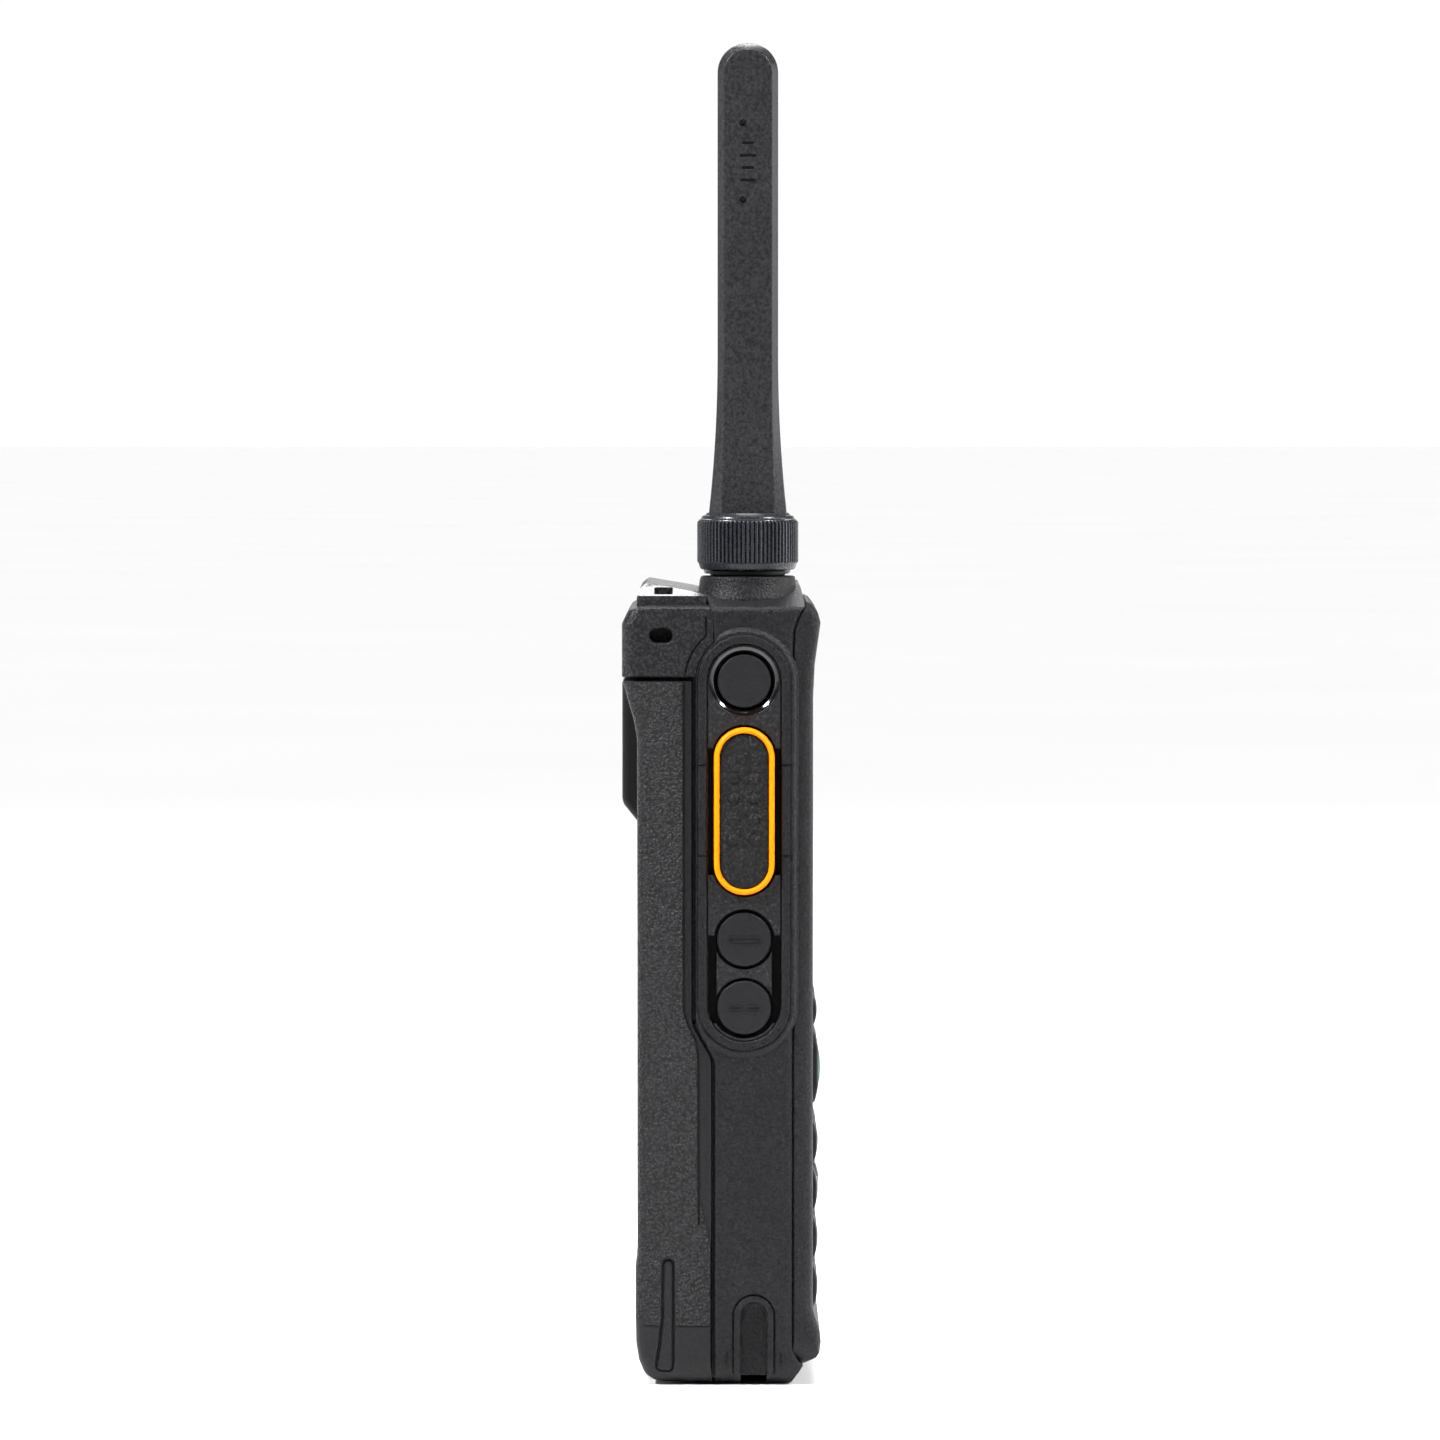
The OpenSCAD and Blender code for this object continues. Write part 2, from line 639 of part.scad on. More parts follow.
contact_xs = [-7.5, -2.5, 2.5, 7.5];
charge_xs = [-8, 0, 8];

module battery_case() color([0.13, 0.13, 0.14]) difference() {
    intersection() {
        along_x(-batt_hw, batt_hw) battery_side();
        along_y(-20, 20) round_rect(-batt_hw, 0, batt_hw, 120, 4.8);
        translate([-batt_hw, -20, -1]) linear_extrude(130) round_rect(0, 0, 2 * batt_hw, 36.4, 3);
    }
    along_x(-batt_in_hw, batt_in_hw) polygon([
        [0, 1.9], [11.2, 1.9], [12.4, 3.4], [12.4, 112.3], [batt_high_y - 1, 112.3],
        [batt_high_y - 1, 58.4], [batt_low_y - 1, 52.9], [0, 52.9]
    ]);
    // seat of the belt clip plate
    translate([-clip_hw, back_y, 90]) cube([2 * clip_hw, 5, 30]);
    for (side = [-1, 1]) along_y(10, 20) translate([side * clip_spacing / 2, clip_z]) circle(insert_r);
    for (x = charge_xs) along_y(13.7, 20) translate([x, 33]) circle(1.8);
    // stepped slot of the latch, through the bottom wall
    translate([-6.2, 0, -1]) cube([12.4, 10.7, 3]);
    translate([-8.2, 0, 0.95]) cube([16.4, 10.7, 2]);
    // rounded guide grooves on both sides
    for (side = [-1, 1]) translate([side * (batt_hw + 0.2), 9.2, 3]) cylinder(r = 1.1, h = 17.5);
}

module battery_lid() color([0.16, 0.16, 0.17]) difference() {
    along_x(-batt_in_hw + 0.02, batt_in_hw - 0.02) lid_side();
    for (x = contact_xs) along_y(0, batt_low_y + 0.4) translate([x, 42]) square([3, 4], center = true);
}

module battery_contacts() color([0.85, 0.7, 0.35]) {
    for (x = contact_xs)
        along_y(batt_low_y, batt_low_y + 0.4) translate([x, 42]) square([3, 4], center = true);
    for (x = charge_xs) along_y(13.7, back_y - 0.1) translate([x, 33]) circle(1.8);
}

// Two cells, and below them the board that protects them
module cell_pack() color([0.25, 0.35, 0.6]) {
    for (side = [-1, 1])
        translate([side * 12.6, 9.55, 66.5]) cube([24.4, 5.2, 90], center = true);
    translate([-22, 4.0, 6]) cube([44, 1.2, 44]);
}

module clip_plate() color([0.09, 0.09, 0.1]) difference() {
    along_x(-clip_hw + eps, clip_hw - eps)
        polygon([[back_y, 90.4], [boss_y, 93.4], [boss_y, 113.4], [16.3, 113.8], [back_y, 113.8]]);
    for (side = [-1, 1]) along_y(10, 20) translate([side * clip_spacing / 2, clip_z]) circle(insert_r);
}

module clip_inserts() color([0.8, 0.65, 0.35]) for (side = [-1, 1])
    along_y(12.6, boss_y) translate([side * clip_spacing / 2, clip_z]) difference() {
        circle(insert_r - 0.01);
        circle(tap_r);
    }

module battery_latch() color([0.09, 0.09, 0.1]) {
    translate([-8, 2.5, 1.05]) cube([16, 5.9, 0.7]);
    translate([-6, 2.5, 0.5]) cube([12, 5.9, 0.6]);
    translate([-6, 0.2, 0.75]) cube([12, 2.4, 0.75]);
}

// ---------- drawing ----------

main_housing();
front_cover();
rear_cap();
rear_chassis();
side_key_panel();
side_switches();
antenna_socket();
rotary_encoder();
led_window();
speaker();
microphone();
lcd_window();
lcd_module();
keypad_sheet();
main_board();
shield_cans();
contact_block();
accessory_connector();
chassis_screws();
battery_case();
battery_lid();
cell_pack();
battery_contacts();
clip_plate();
clip_inserts();
battery_latch();
antenna_whip();
antenna_collar();
antenna_stud();
antenna_coil();
antenna_seal();
volume_knob();
knob_shaft();
emergency_button();
top_key();
ptt_ring();
ptt_pad();
key_minus();
key_dash();
accessory_cover();
cover_screw();
nav_pad();
nav_post();
ok_key();
soft_key(-1);  // soft_key_left
soft_key(1);  // soft_key_right
call_or_end(-1);  // call_key
call_or_end(1);  // end_key
number_key(0);  // key_1
number_key(1);  // key_2
number_key(2);  // key_3
number_key(3);  // key_4
number_key(4);  // key_5
number_key(5);  // key_6
number_key(6);  // key_7
number_key(7);  // key_8
number_key(8);  // key_9
number_key(9);  // key_star
number_key(10);  // key_0
number_key(11);  // key_hash
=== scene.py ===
"""Looks of the handheld two way radio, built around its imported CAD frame.

Pieces are modelled in millimetres, in the frame's own axes, and scaled to metres when they are
finished. Side outlines are (y, z) points, front outlines are (x, z) points.
"""

import math

import bmesh
import bpy
from mathutils import Matrix, Vector


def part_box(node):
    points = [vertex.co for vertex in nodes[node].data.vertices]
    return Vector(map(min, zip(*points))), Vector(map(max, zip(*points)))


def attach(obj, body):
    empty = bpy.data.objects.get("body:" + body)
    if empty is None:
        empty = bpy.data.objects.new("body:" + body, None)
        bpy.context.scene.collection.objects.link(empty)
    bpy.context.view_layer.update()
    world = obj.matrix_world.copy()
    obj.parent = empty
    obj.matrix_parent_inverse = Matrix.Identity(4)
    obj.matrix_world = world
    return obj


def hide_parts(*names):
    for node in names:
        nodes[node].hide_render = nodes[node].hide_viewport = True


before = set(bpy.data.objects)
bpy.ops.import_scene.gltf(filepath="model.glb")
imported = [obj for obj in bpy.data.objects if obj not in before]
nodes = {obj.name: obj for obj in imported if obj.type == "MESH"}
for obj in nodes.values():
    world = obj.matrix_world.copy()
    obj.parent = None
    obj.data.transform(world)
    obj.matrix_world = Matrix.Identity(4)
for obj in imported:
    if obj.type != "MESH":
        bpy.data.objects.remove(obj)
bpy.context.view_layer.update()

MM = 0.001
SMOOTH_ANGLE = math.radians(32)
AXIS_R = 0.01


# ---------- sizes taken from the frame ----------

def node_box(name):
    """Lowest and highest corner of a CAD node, in millimetres."""
    low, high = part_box(name)
    return low / MM, high / MM


def node_centre(name):
    low, high = node_box(name)
    return (low + high) / 2


HALF_W = node_box("front_cover")[1].x
CASE_HALF_W = node_box("battery_case")[1].x
CAP_HALF_W = node_box("rear_cap")[1].x
KEY_Y = node_centre("ptt_pad").y
TOP_KEY_Z = node_centre("top_key").z
PTT_Z = node_centre("ptt_pad").z
MINUS_Z = node_centre("key_minus").z
DASH_Z = node_centre("key_dash").z
LOW_ARC_Z = node_box("side_key_panel")[0].z + 5.88
RECESS_R = 5.93
ANTENNA = node_centre("antenna_collar")
KNOB = node_centre("volume_knob")
BUTTON = node_centre("emergency_button")
TIP_Z = node_box("antenna_whip")[1].z
JOINT_Y = -10.9
FRONT_Y = -14.2
PLATE_Y = -12.0
CROWN_Z = 129.2
SEAT_Z = 130.5
SIDE_CREASE_Y = -9.6
SIDE_LEAN = 0.22
GUIDE_Y = -4.65
LOWER_CORNER = 4.5
CAVITY_HALF_W = 25.2
GUIDE_R = 3.5
GUIDE_TOP_Z = 14.9
PTT_LOW_Z = PTT_Z - 13.5 + 4.9
PTT_HIGH_Z = PTT_Z + 13.5 - 4.9
SIDE_KEY_FACE = -28.0
SCREW_Y = -3.2
SCREW_Z = 107.6
FINE_SMOOTH = math.radians(28)


# ---------- outlines ----------

def arc(cx, cy, r, start, end, steps):
    """Points of an arc, angles in degrees."""
    points = []
    for i in range(steps + 1):
        a = math.radians(start + (end - start) * i / steps)
        points.append((cx + r * math.cos(a), cy + r * math.sin(a)))
    return points


def rounded(corners, steps=4):
    """A closed outline whose corners, given as (u, v, radius), are turned into arcs."""
    points = []
    count = len(corners)
    for i, (u, v, r) in enumerate(corners):
        here = Vector((u, v))
        before = Vector(corners[i - 1][:2]) - here
        after = Vector(corners[(i + 1) % count][:2]) - here
        turn = math.pi - before.angle(after)
        if r <= 0:
            points.append((u, v))
            continue
        if turn < 0.002:
            step = after.normalized() * min(r, after.length * 0.4) / steps
            points.extend(tuple(here + step * k) for k in range(steps + 1))
            continue
        reach = min(r * math.tan(turn / 2), before.length * 0.48, after.length * 0.48)
        radius = reach / math.tan(turn / 2)
        bisector = (before.normalized() + after.normalized()).normalized()
        centre = here + bisector * (radius / math.cos(turn / 2))
        start = here + before.normalized() * reach - centre
        for k in range(steps + 1):
            sign = 1 if before.x * after.y - before.y * after.x < 0 else -1
            angle = sign * turn * k / steps
            spun = Matrix.Rotation(angle, 2) @ start
            points.append(tuple(centre + spun))
    return points


def anticlockwise(points):
    area = sum(points[i - 1][0] * points[i][1] - points[i][0] * points[i - 1][1]
               for i in range(len(points)))
    return points if area > 0 else points[::-1]


def box_outline(u0, v0, u1, v1, r, steps=4):
    return rounded([(u0, v0, r), (u1, v0, r), (u1, v1, r), (u0, v1, r)], steps)


def slot_outline(r, y, z0, z1, steps=16):
    """An upright slot with round ends, between two end centres."""
    return arc(y, z1, r, 0, 180, steps) + arc(y, z0, r, 180, 360, steps)


def circle_outline(cy, cz, r, steps=48):
    angles = [2 * math.pi * i / steps for i in range(steps)]
    return [(cy + r * math.cos(a), cz + r * math.sin(a)) for a in angles]


def inset(points, amount):
    """Moves each side of an anticlockwise outline inwards. amount is a distance, or a function
    of the side's outward normal. Sides that would turn round shrink to a point instead, so the
    result has as many points as the outline."""
    distance = amount if callable(amount) else (lambda normal: amount)
    count = len(points)
    corners = [Vector(p) for p in points]
    along = [(corners[(i + 1) % count] - corners[i]).normalized() for i in range(count)]
    normals = [Vector((a.y, -a.x)) for a in along]
    lines = [corners[i].dot(normals[i]) - distance(normals[i]) for i in range(count)]
    alive = [i for i in range(count) if along[i].length > 0.5]
    while True:
        meets = {}
        for k, i in enumerate(alive):
            meets[i] = crossing(normals, lines, corners, alive[k - 1], i)
        kept = []
        for k, i in enumerate(alive):
            after = meets[alive[(k + 1) % len(alive)]]
            if (after - meets[i]).dot(along[i]) > 1e-7:
                kept.append(i)
        if len(kept) == len(alive) or len(kept) < 3:
            break
        alive = kept
    moved = []
    k = 0
    for i in range(count):
        while k < len(alive) and alive[k] < i:
            k += 1
        moved.append(tuple(meets[alive[k % len(alive)]]))
    return moved


def crossing(normals, lines, corners, i, j):
    """Where the shifted lines of two sides of an outline meet."""
    n1 = normals[i]
    n2 = normals[j]
    det = n1.x * n2.y - n1.y * n2.x
    if abs(det) < 0.01:
        here = corners[j]
        drop = (here.dot(n1) - lines[i] + here.dot(n2) - lines[j]) / 2
        return here - n2 * drop
    u = (lines[i] * n2.y - lines[j] * n1.y) / det
    v = (n1.x * lines[j] - n2.x * lines[i]) / det
    return Vector((u, v))


# ---------- meshes ----------

PLACES = {
    "x": lambda u, v, w: (w, u, v),
    "y": lambda u, v, w: (u, w, v),
    "z": lambda u, v, w: (u, v, w),
}


def add_object(name, data):
    obj = bpy.data.objects.new(name, data)
    bpy.context.scene.collection.objects.link(obj)
    return obj


def tidy_normals(mesh):
    work = bmesh.new()
    work.from_mesh(mesh)
    bmesh.ops.remove_doubles(work, verts=work.verts, dist=1e-4)
    bmesh.ops.dissolve_degenerate(work, edges=work.edges, dist=1e-5)
    bmesh.ops.recalc_face_normals(work, faces=work.faces)
    if work.calc_volume(signed=True) < 0:
        bmesh.ops.reverse_faces(work, faces=work.faces)
    work.to_mesh(mesh)
    work.free()


def skin(name, rings, closed=False, caps=True):
    """A mesh through rings of equal length. closed joins the last ring to the first."""
    count = len(rings[0])
    if any(len(ring) != count for ring in rings):
        raise ValueError(name + " has rings of unequal length")
    verts = [p for ring in rings for p in ring]
    faces = []
    spans = len(rings) if closed else len(rings) - 1
    for k in range(spans):
        low = k * count
        high = ((k + 1) % len(rings)) * count
        for i in range(count):
            j = (i + 1) % count
            faces.append((low + i, low + j, high + j, high + i))
    if caps and not closed:
        faces.append(tuple(range(count))[::-1])
        faces.append(tuple(range((len(rings) - 1) * count, len(rings) * count)))
    mesh = bpy.data.meshes.new(name)
    mesh.from_pydata(verts, [], faces)
    tidy_normals(mesh)
    return add_object(name, mesh)


def stack(name, layers, axis, **options):
    """A mesh through (outline, position along the axis) layers."""
    place = PLACES[axis]
    return skin(name, [[place(u, v, w) for u, v in outline] for outline, w in layers], **options)


def prism(name, outline, w0, w1, axis, soft=0.0, steps=4, end="both"):
    """An outline pushed along an axis. soft rounds the edges of its ends: a radius, or a
    (radius, inset function of the outward normal) pair."""
    outline = anticlockwise(outline)
    radius, share = soft if isinstance(soft, tuple) else (soft, None)
    if radius <= 0:
        return stack(name, [(outline, w0), (outline, w1)], axis)

    def ring(t):
        drop = radius * (1 - math.sqrt(1 - (1 - t) ** 2))
        if share is None:
            return inset(outline, drop)
        return inset(outline, lambda normal: drop / radius * share(normal))

    low = [(ring(i / steps), w0 + radius * i / steps) for i in range(steps + 1)]
    high = [(ring(1 - i / steps), w1 - radius * (1 - i / steps)) for i in range(steps + 1)]
    if end == "high":
        low = [(outline, w0)]
    if end == "low":
        high = [(outline, w1)]
    return stack(name, low + high, axis)


def lathe(name, profile, cu, cv, axis, steps=64, wave=None, closed=False):
    """Turns (radius, position) points round an axis. wave(angle) scales the radius of points
    that carry a share of it as a third value."""
    layers = []
    for point in profile:
        r, w = point[:2]
        share = point[2] if len(point) > 2 else 0
        ring = []
        for i in range(steps):
            a = 2 * math.pi * i / steps
            grown = r * (1 + share * (wave(a) if wave else 0))
            ring.append((cu + grown * math.cos(a), cv + grown * math.sin(a)))
        layers.append((ring, w))
    return stack(name, layers, axis, closed=closed)


def drill(name, profile, cu, cv, axis, steps=48):
    """A round tool whose (radius, position) points run from its first end to its last."""
    first = profile[0][1]
    last = profile[-1][1]
    return lathe(name, [(AXIS_R, first)] + profile + [(AXIS_R, last)], cu, cv, axis, steps)


def apply_modifiers(obj):
    depsgraph = bpy.context.evaluated_depsgraph_get()
    mesh = bpy.data.meshes.new_from_object(obj.evaluated_get(depsgraph))
    old = obj.data
    obj.modifiers.clear()
    obj.data = mesh
    bpy.data.meshes.remove(old)


def remove_object(obj):
    mesh = obj.data
    bpy.data.objects.remove(obj)
    bpy.data.meshes.remove(mesh)


def combine(obj, tools, operation="DIFFERENCE"):
    """Cuts, adds or intersects obj with each tool in turn, and removes the tools."""
    for tool in tools:
        step = obj.modifiers.new("combine", "BOOLEAN")
        step.operation = operation
        step.solver = "EXACT"
        step.object = tool
        apply_modifiers(obj)
        remove_object(tool)
    return obj


def lean_sides(obj, start_y, slope):
    """Leans the sides of a piece inwards from start_y towards the front, with a crease there."""
    work = bmesh.new()
    work.from_mesh(obj.data)
    parts = work.verts[:] + work.edges[:] + work.faces[:]
    bmesh.ops.bisect_plane(work, geom=parts, plane_co=(0, start_y, 0), plane_no=(0, 1, 0))
    for vertex in work.verts:
        ahead = start_y - vertex.co.y
        share = min(1, max(0, (abs(vertex.co.x) - 22) / 4))
        if ahead > 0:
            vertex.co.x -= math.copysign(slope * ahead * share, vertex.co.x)
    work.to_mesh(obj.data)
    work.free()


def join(obj, others):
    """Adds the meshes of other objects to obj."""
    work = bmesh.new()
    work.from_mesh(obj.data)
    for other in others:
        work.from_mesh(other.data)
        remove_object(other)
    work.to_mesh(obj.data)
    work.free()


def finish_piece(obj, body, material, replaces=(), smooth=SMOOTH_ANGLE):
    """Scales a piece to metres, shades it, paints it and lets it ride on its body."""
    mesh = obj.data
    mesh.transform(Matrix.Scale(MM, 4))
    mesh.shade_smooth()
    mesh.set_sharp_from_angle(angle=smooth)
    mesh.materials.clear()
    for paint in material if isinstance(material, list) else [material]:
        mesh.materials.append(paint)
    even = obj.modifiers.new("even_normals", "WEIGHTED_NORMAL")
    even.keep_sharp = True
    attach(obj, body)
    if replaces:
        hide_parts(*replaces)


def paint_second(obj, test):
    """Gives the second material to the faces that pass a test."""
    for face in obj.data.polygons:
        face.material_index = 1 if test(face) else 0


# ---------- materials ----------

def link(tree, source, output, target, entry):
    tree.links.new(source.outputs[output], target.inputs[entry])


def set_sockets(node, values):
    for socket, value in values.items():
        node.inputs[socket].default_value = value


def add_node(tree, kind, values, operation=None):
    """A shader node with values in its sockets."""
    node = tree.nodes.new("ShaderNode" + kind)
    if operation:
        node.operation = operation
    set_sockets(node, values)
    return node


def scaled(colour, factor):
    return tuple(c * factor for c in colour)


def new_material(name, colour, roughness, metallic=0.0, specular=0.2, coat=0.0):
    """A material with its node tree, its shader and a texture coordinate node."""
    material = bpy.data.materials.new(name)
    material.use_nodes = True
    material.diffuse_color = (*colour, 1)
    tree = material.node_tree
    shader = tree.nodes["Principled BSDF"]
    set_sockets(shader, {"Base Color": (*colour, 1), "Roughness": roughness, "Metallic": metallic,
                         "Specular IOR Level": specular, "Coat Weight": coat})
    return material, tree, shader, add_node(tree, "TexCoord", {})


def noise(tree, coords, scale, detail=2.0, rough=0.5, stretch=None):
    node = add_node(tree, "TexNoise", {"Scale": scale, "Detail": detail, "Roughness": rough})
    if stretch:
        mapping = add_node(tree, "Mapping", {"Scale": stretch})
        link(tree, coords, "Object", mapping, "Vector")
        link(tree, mapping, "Vector", node, "Vector")
    else:
        link(tree, coords, "Object", node, "Vector")
    return node


def wave_rows(tree, coords, direction, scale):
    rows = add_node(tree, "TexWave", {"Scale": scale})
    rows.bands_direction = direction
    link(tree, coords, "Object", rows, "Vector")
    return rows


def spread(tree, source, output, low, high, from_low=0.3, from_high=0.7):
    """Maps a texture's value to a range."""
    node = add_node(tree, "MapRange", {"From Min": from_low, "From Max": from_high,
                                       "To Min": low, "To Max": high})
    link(tree, source, output, node, "Value")
    return node


def vary_roughness(tree, shader, source, output, *limits):
    """Links a texture to the roughness. limits are those of spread()."""
    node = spread(tree, source, output, *limits)
    link(tree, node, "Result", shader, "Roughness")


def paint_between(tree, shader, factor, output, dark, light, low=0.3, high=0.7):
    """Colours a material from dark to light by a texture's value. Returns its ramp."""
    node = tree.nodes.new("ShaderNodeValToRGB")
    elements = node.color_ramp.elements
    elements[0].color = (*dark, 1)
    elements[0].position = low
    elements[1].color = (*light, 1)
    elements[1].position = high
    link(tree, factor, output, node, "Fac")
    link(tree, node, "Color", shader, "Base Color")
    return node.color_ramp


def add_bump(tree, shader, source, output, height, strength=1.0):
    """Links a texture to the normal. height is in millimetres."""
    bump = add_node(tree, "Bump", {"Strength": strength, "Distance": height * MM})
    link(tree, source, output, bump, "Height")
    link(tree, bump, "Normal", shader, "Normal")


def grained(name, colour, roughness, grain, depth, specular=0.2, sparkle=0.25, coat=0.0, painted_glints=0.0):
    """Moulded plastic or rubber. grain is the size of the texture's cells and depth its height, both in
    millimetres. sparkle sets how much lighter raised grain and darker low grain are painted, as painted
    sheen and shade mixed with random cloudy tone. painted_glints is how bright its few painted glints on the
    highest grain are."""
    material, tree, shader, coords = new_material(name, colour, roughness, 0.0, specular, coat)
    fine = noise(tree, coords, 1000 / grain, 2.5, 0.55)
    cloud = noise(tree, coords, 60, 3.0, 0.6)
    vary_roughness(tree, shader, fine, "Fac", roughness - 0.08, roughness + 0.1)
    mixed = add_node(tree, "Math", {1: 0.35}, "MULTIPLY_ADD")
    link(tree, cloud, "Fac", mixed, 0)
    part = spread(tree, fine, "Fac", 0.1, 0.75)
    link(tree, part, "Result", mixed, 2)
    light = scaled(colour, 1 + sparkle)
    # Painted sheen and shade: the colour is lighter where the grain is raised and darker where it is low,
    # mixed with random cloudy tone.
    ramp = paint_between(tree, shader, mixed, "Value", scaled(colour, 1 - sparkle), light)
    # Painted glints: the few highest grain spots get light specks.
    if painted_glints > 0:
        ramp.elements.new(0.8).color = (*light, 1)
        ramp.elements.new(0.92).color = (*(c + painted_glints for c in light), 1)
    add_bump(tree, shader, fine, "Fac", depth)
    return material


def pebbled(name, colour, roughness, cell, depth):
    """Coarse leather-like grain of a moulded pack: round cells with fine noise between them."""
    material, tree, shader, coords = new_material(name, colour, roughness, specular=0.22)
    warp = noise(tree, coords, 900)
    mix = add_node(tree, "VectorMath", {1: (0.0006, 0.0006, 0.0006)}, "MULTIPLY_ADD")
    link(tree, warp, "Color", mix, 0)
    link(tree, coords, "Object", mix, 2)
    cells = tree.nodes.new("ShaderNodeTexVoronoi")
    cells.feature = "SMOOTH_F1"
    set_sockets(cells, {"Scale": 1000 / cell, "Smoothness": 0.6})
    link(tree, mix, "Vector", cells, "Vector")
    fine = noise(tree, coords, 2600, 3.0, 0.65)
    height = add_node(tree, "Math", {1: -1.0}, "MULTIPLY_ADD")
    link(tree, cells, "Distance", height, 0)
    small = spread(tree, fine, "Fac", 0.0, 0.22)
    link(tree, small, "Result", height, 2)
    add_bump(tree, shader, height, "Value", depth)
    vary_roughness(tree, shader, cells, "Distance", roughness - 0.06, roughness + 0.14, 0.1, 0.8)
    # Painted shade and highlight: the colour darkens into the low gaps between the cells and lightens on
    # their raised middles.
    paint_between(tree, shader, cells, "Distance", scaled(colour, 1.6), scaled(colour, 0.33), 0.12,
                  0.62)
    return material


def metal(name, colour, roughness, brushed=(1, 1, 1)):
    material, tree, shader, coords = new_material(name, colour, roughness, metallic=1.0)
    fine = noise(tree, coords, 900, 3.0, 0.6, stretch=brushed)
    vary_roughness(tree, shader, fine, "Fac", roughness - 0.1, roughness + 0.12)
    paint_between(tree, shader, fine, "Fac", scaled(colour, 0.8), colour)
    add_bump(tree, shader, fine, "Fac", 0.01, 0.4)
    return material


def glass(name, colour):
    """Dark glossy window with faint fine rows under its face."""
    material, tree, shader, coords = new_material(name, colour, 0.09, specular=0.45)
    rows = wave_rows(tree, coords, "Z", 900)
    paint_between(tree, shader, rows, "Fac", scaled(colour, 0.9), scaled(colour, 1.1))
    return material


def screen_cloth(name):
    """Woven acoustic cloth behind the speaker slots."""
    material, tree, shader, coords = new_material(name, (0.03, 0.03, 0.032), 0.6)
    product = add_node(tree, "Math", {}, "MULTIPLY")
    for entry, direction in enumerate(("X", "Z")):
        link(tree, wave_rows(tree, coords, direction, 700), "Fac", product, entry)
    paint_between(tree, shader, product, "Value", (0.006, 0.006, 0.006), (0.09, 0.09, 0.095))
    add_bump(tree, shader, product, "Value", 0.08)
    return material


housing_plastic = grained("housing_plastic", (0.0062, 0.006, 0.007), 0.42, 0.42, 0.2, sparkle=0.6,
                          painted_glints=0.008)
upper_plastic = grained("upper_plastic", (0.012, 0.012, 0.013), 0.28, 0.3, 0.03, specular=0.5, painted_glints=0.01)
panel_plastic = grained("panel_plastic", (0.0105, 0.0105, 0.0115), 0.42, 0.5, 0.22, sparkle=0.5, painted_glints=0.02)
cap_plastic = pebbled("cap_plastic", (0.0165, 0.0165, 0.0182), 0.34, 0.45, 0.13)
# Near-black material painted on the side panel's recessed faces as shade.
painted_recess_shade = grained("painted_recess_shade", (0.0015, 0.0015, 0.0018), 0.6, 0.3, 0.02, specular=0.1)
battery_plastic = pebbled("battery_plastic", (0.0128, 0.0128, 0.0146), 0.33, 0.44, 0.42)
smooth_plastic = grained("smooth_plastic", (0.0058, 0.0058, 0.0066), 0.38, 0.3, 0.008)
smooth_grain = grained("smooth_grain", (0.0098, 0.0098, 0.0108), 0.4, 0.35, 0.08, painted_glints=0.006)
gloss_plastic = grained("gloss_plastic", (0.002, 0.002, 0.0024), 0.12, 0.5, 0.002, specular=0.5, coat=0.5)
key_rubber = grained("key_rubber", (0.0095, 0.0095, 0.011), 0.46, 0.3, 0.05)
pad_rubber = pebbled("pad_rubber", (0.0072, 0.0072, 0.0079), 0.36, 0.5, 0.25)
antenna_rubber = grained("antenna_rubber", (0.015, 0.015, 0.0163), 0.36, 0.45, 0.04, sparkle=0.5,
                         painted_glints=0.01)
collar_plastic = grained("collar_plastic", (0.0135, 0.0145, 0.0185), 0.28, 0.3, 0.006, specular=0.36)
orange_plastic = grained("orange_plastic", (1.0, 0.25, 0.0), 0.35, 0.5, 0.003, sparkle=0.06)
mark_white = grained("mark_white", (0.72, 0.72, 0.72), 0.5, 0.4, 0.002, sparkle=0.05)
mark_green = grained("mark_green", (0.02, 0.5, 0.2), 0.45, 0.4, 0.002, sparkle=0.05)
mark_red = grained("mark_red", (0.65, 0.03, 0.03), 0.45, 0.4, 0.002, sparkle=0.05)
brass = metal("brass", (0.78, 0.58, 0.26), 0.32, (1, 1, 6))
gold = metal("gold", (0.85, 0.66, 0.3), 0.22)
copper = metal("copper", (0.72, 0.38, 0.2), 0.35, (1, 1, 12))
cast_metal = metal("cast_metal", (0.5, 0.51, 0.52), 0.5)
steel = metal("steel", (0.5, 0.5, 0.52), 0.3, (1, 5, 1))
cell_wrap = grained("cell_wrap", (0.05, 0.09, 0.2), 0.35, 2.0, 0.01)
board_green = grained("board_green", (0.01, 0.09, 0.04), 0.35, 1.2, 0.02)
inner_plastic = grained("inner_plastic", (0.03, 0.03, 0.032), 0.5, 0.5, 0.01)
seal_rubber = grained("seal_rubber", (0.008, 0.008, 0.008), 0.55, 0.4, 0.006)
screen_glass = glass("screen_glass", (0.004, 0.005, 0.006))
screen_face = glass("screen_face", (0.014, 0.019, 0.021))
lamp_plastic = grained("lamp_plastic", (0.55, 0.62, 0.56), 0.25, 1.0, 0.004, sparkle=0.08)
speaker_cloth = screen_cloth("speaker_cloth")


# ---------- shared outlines ----------

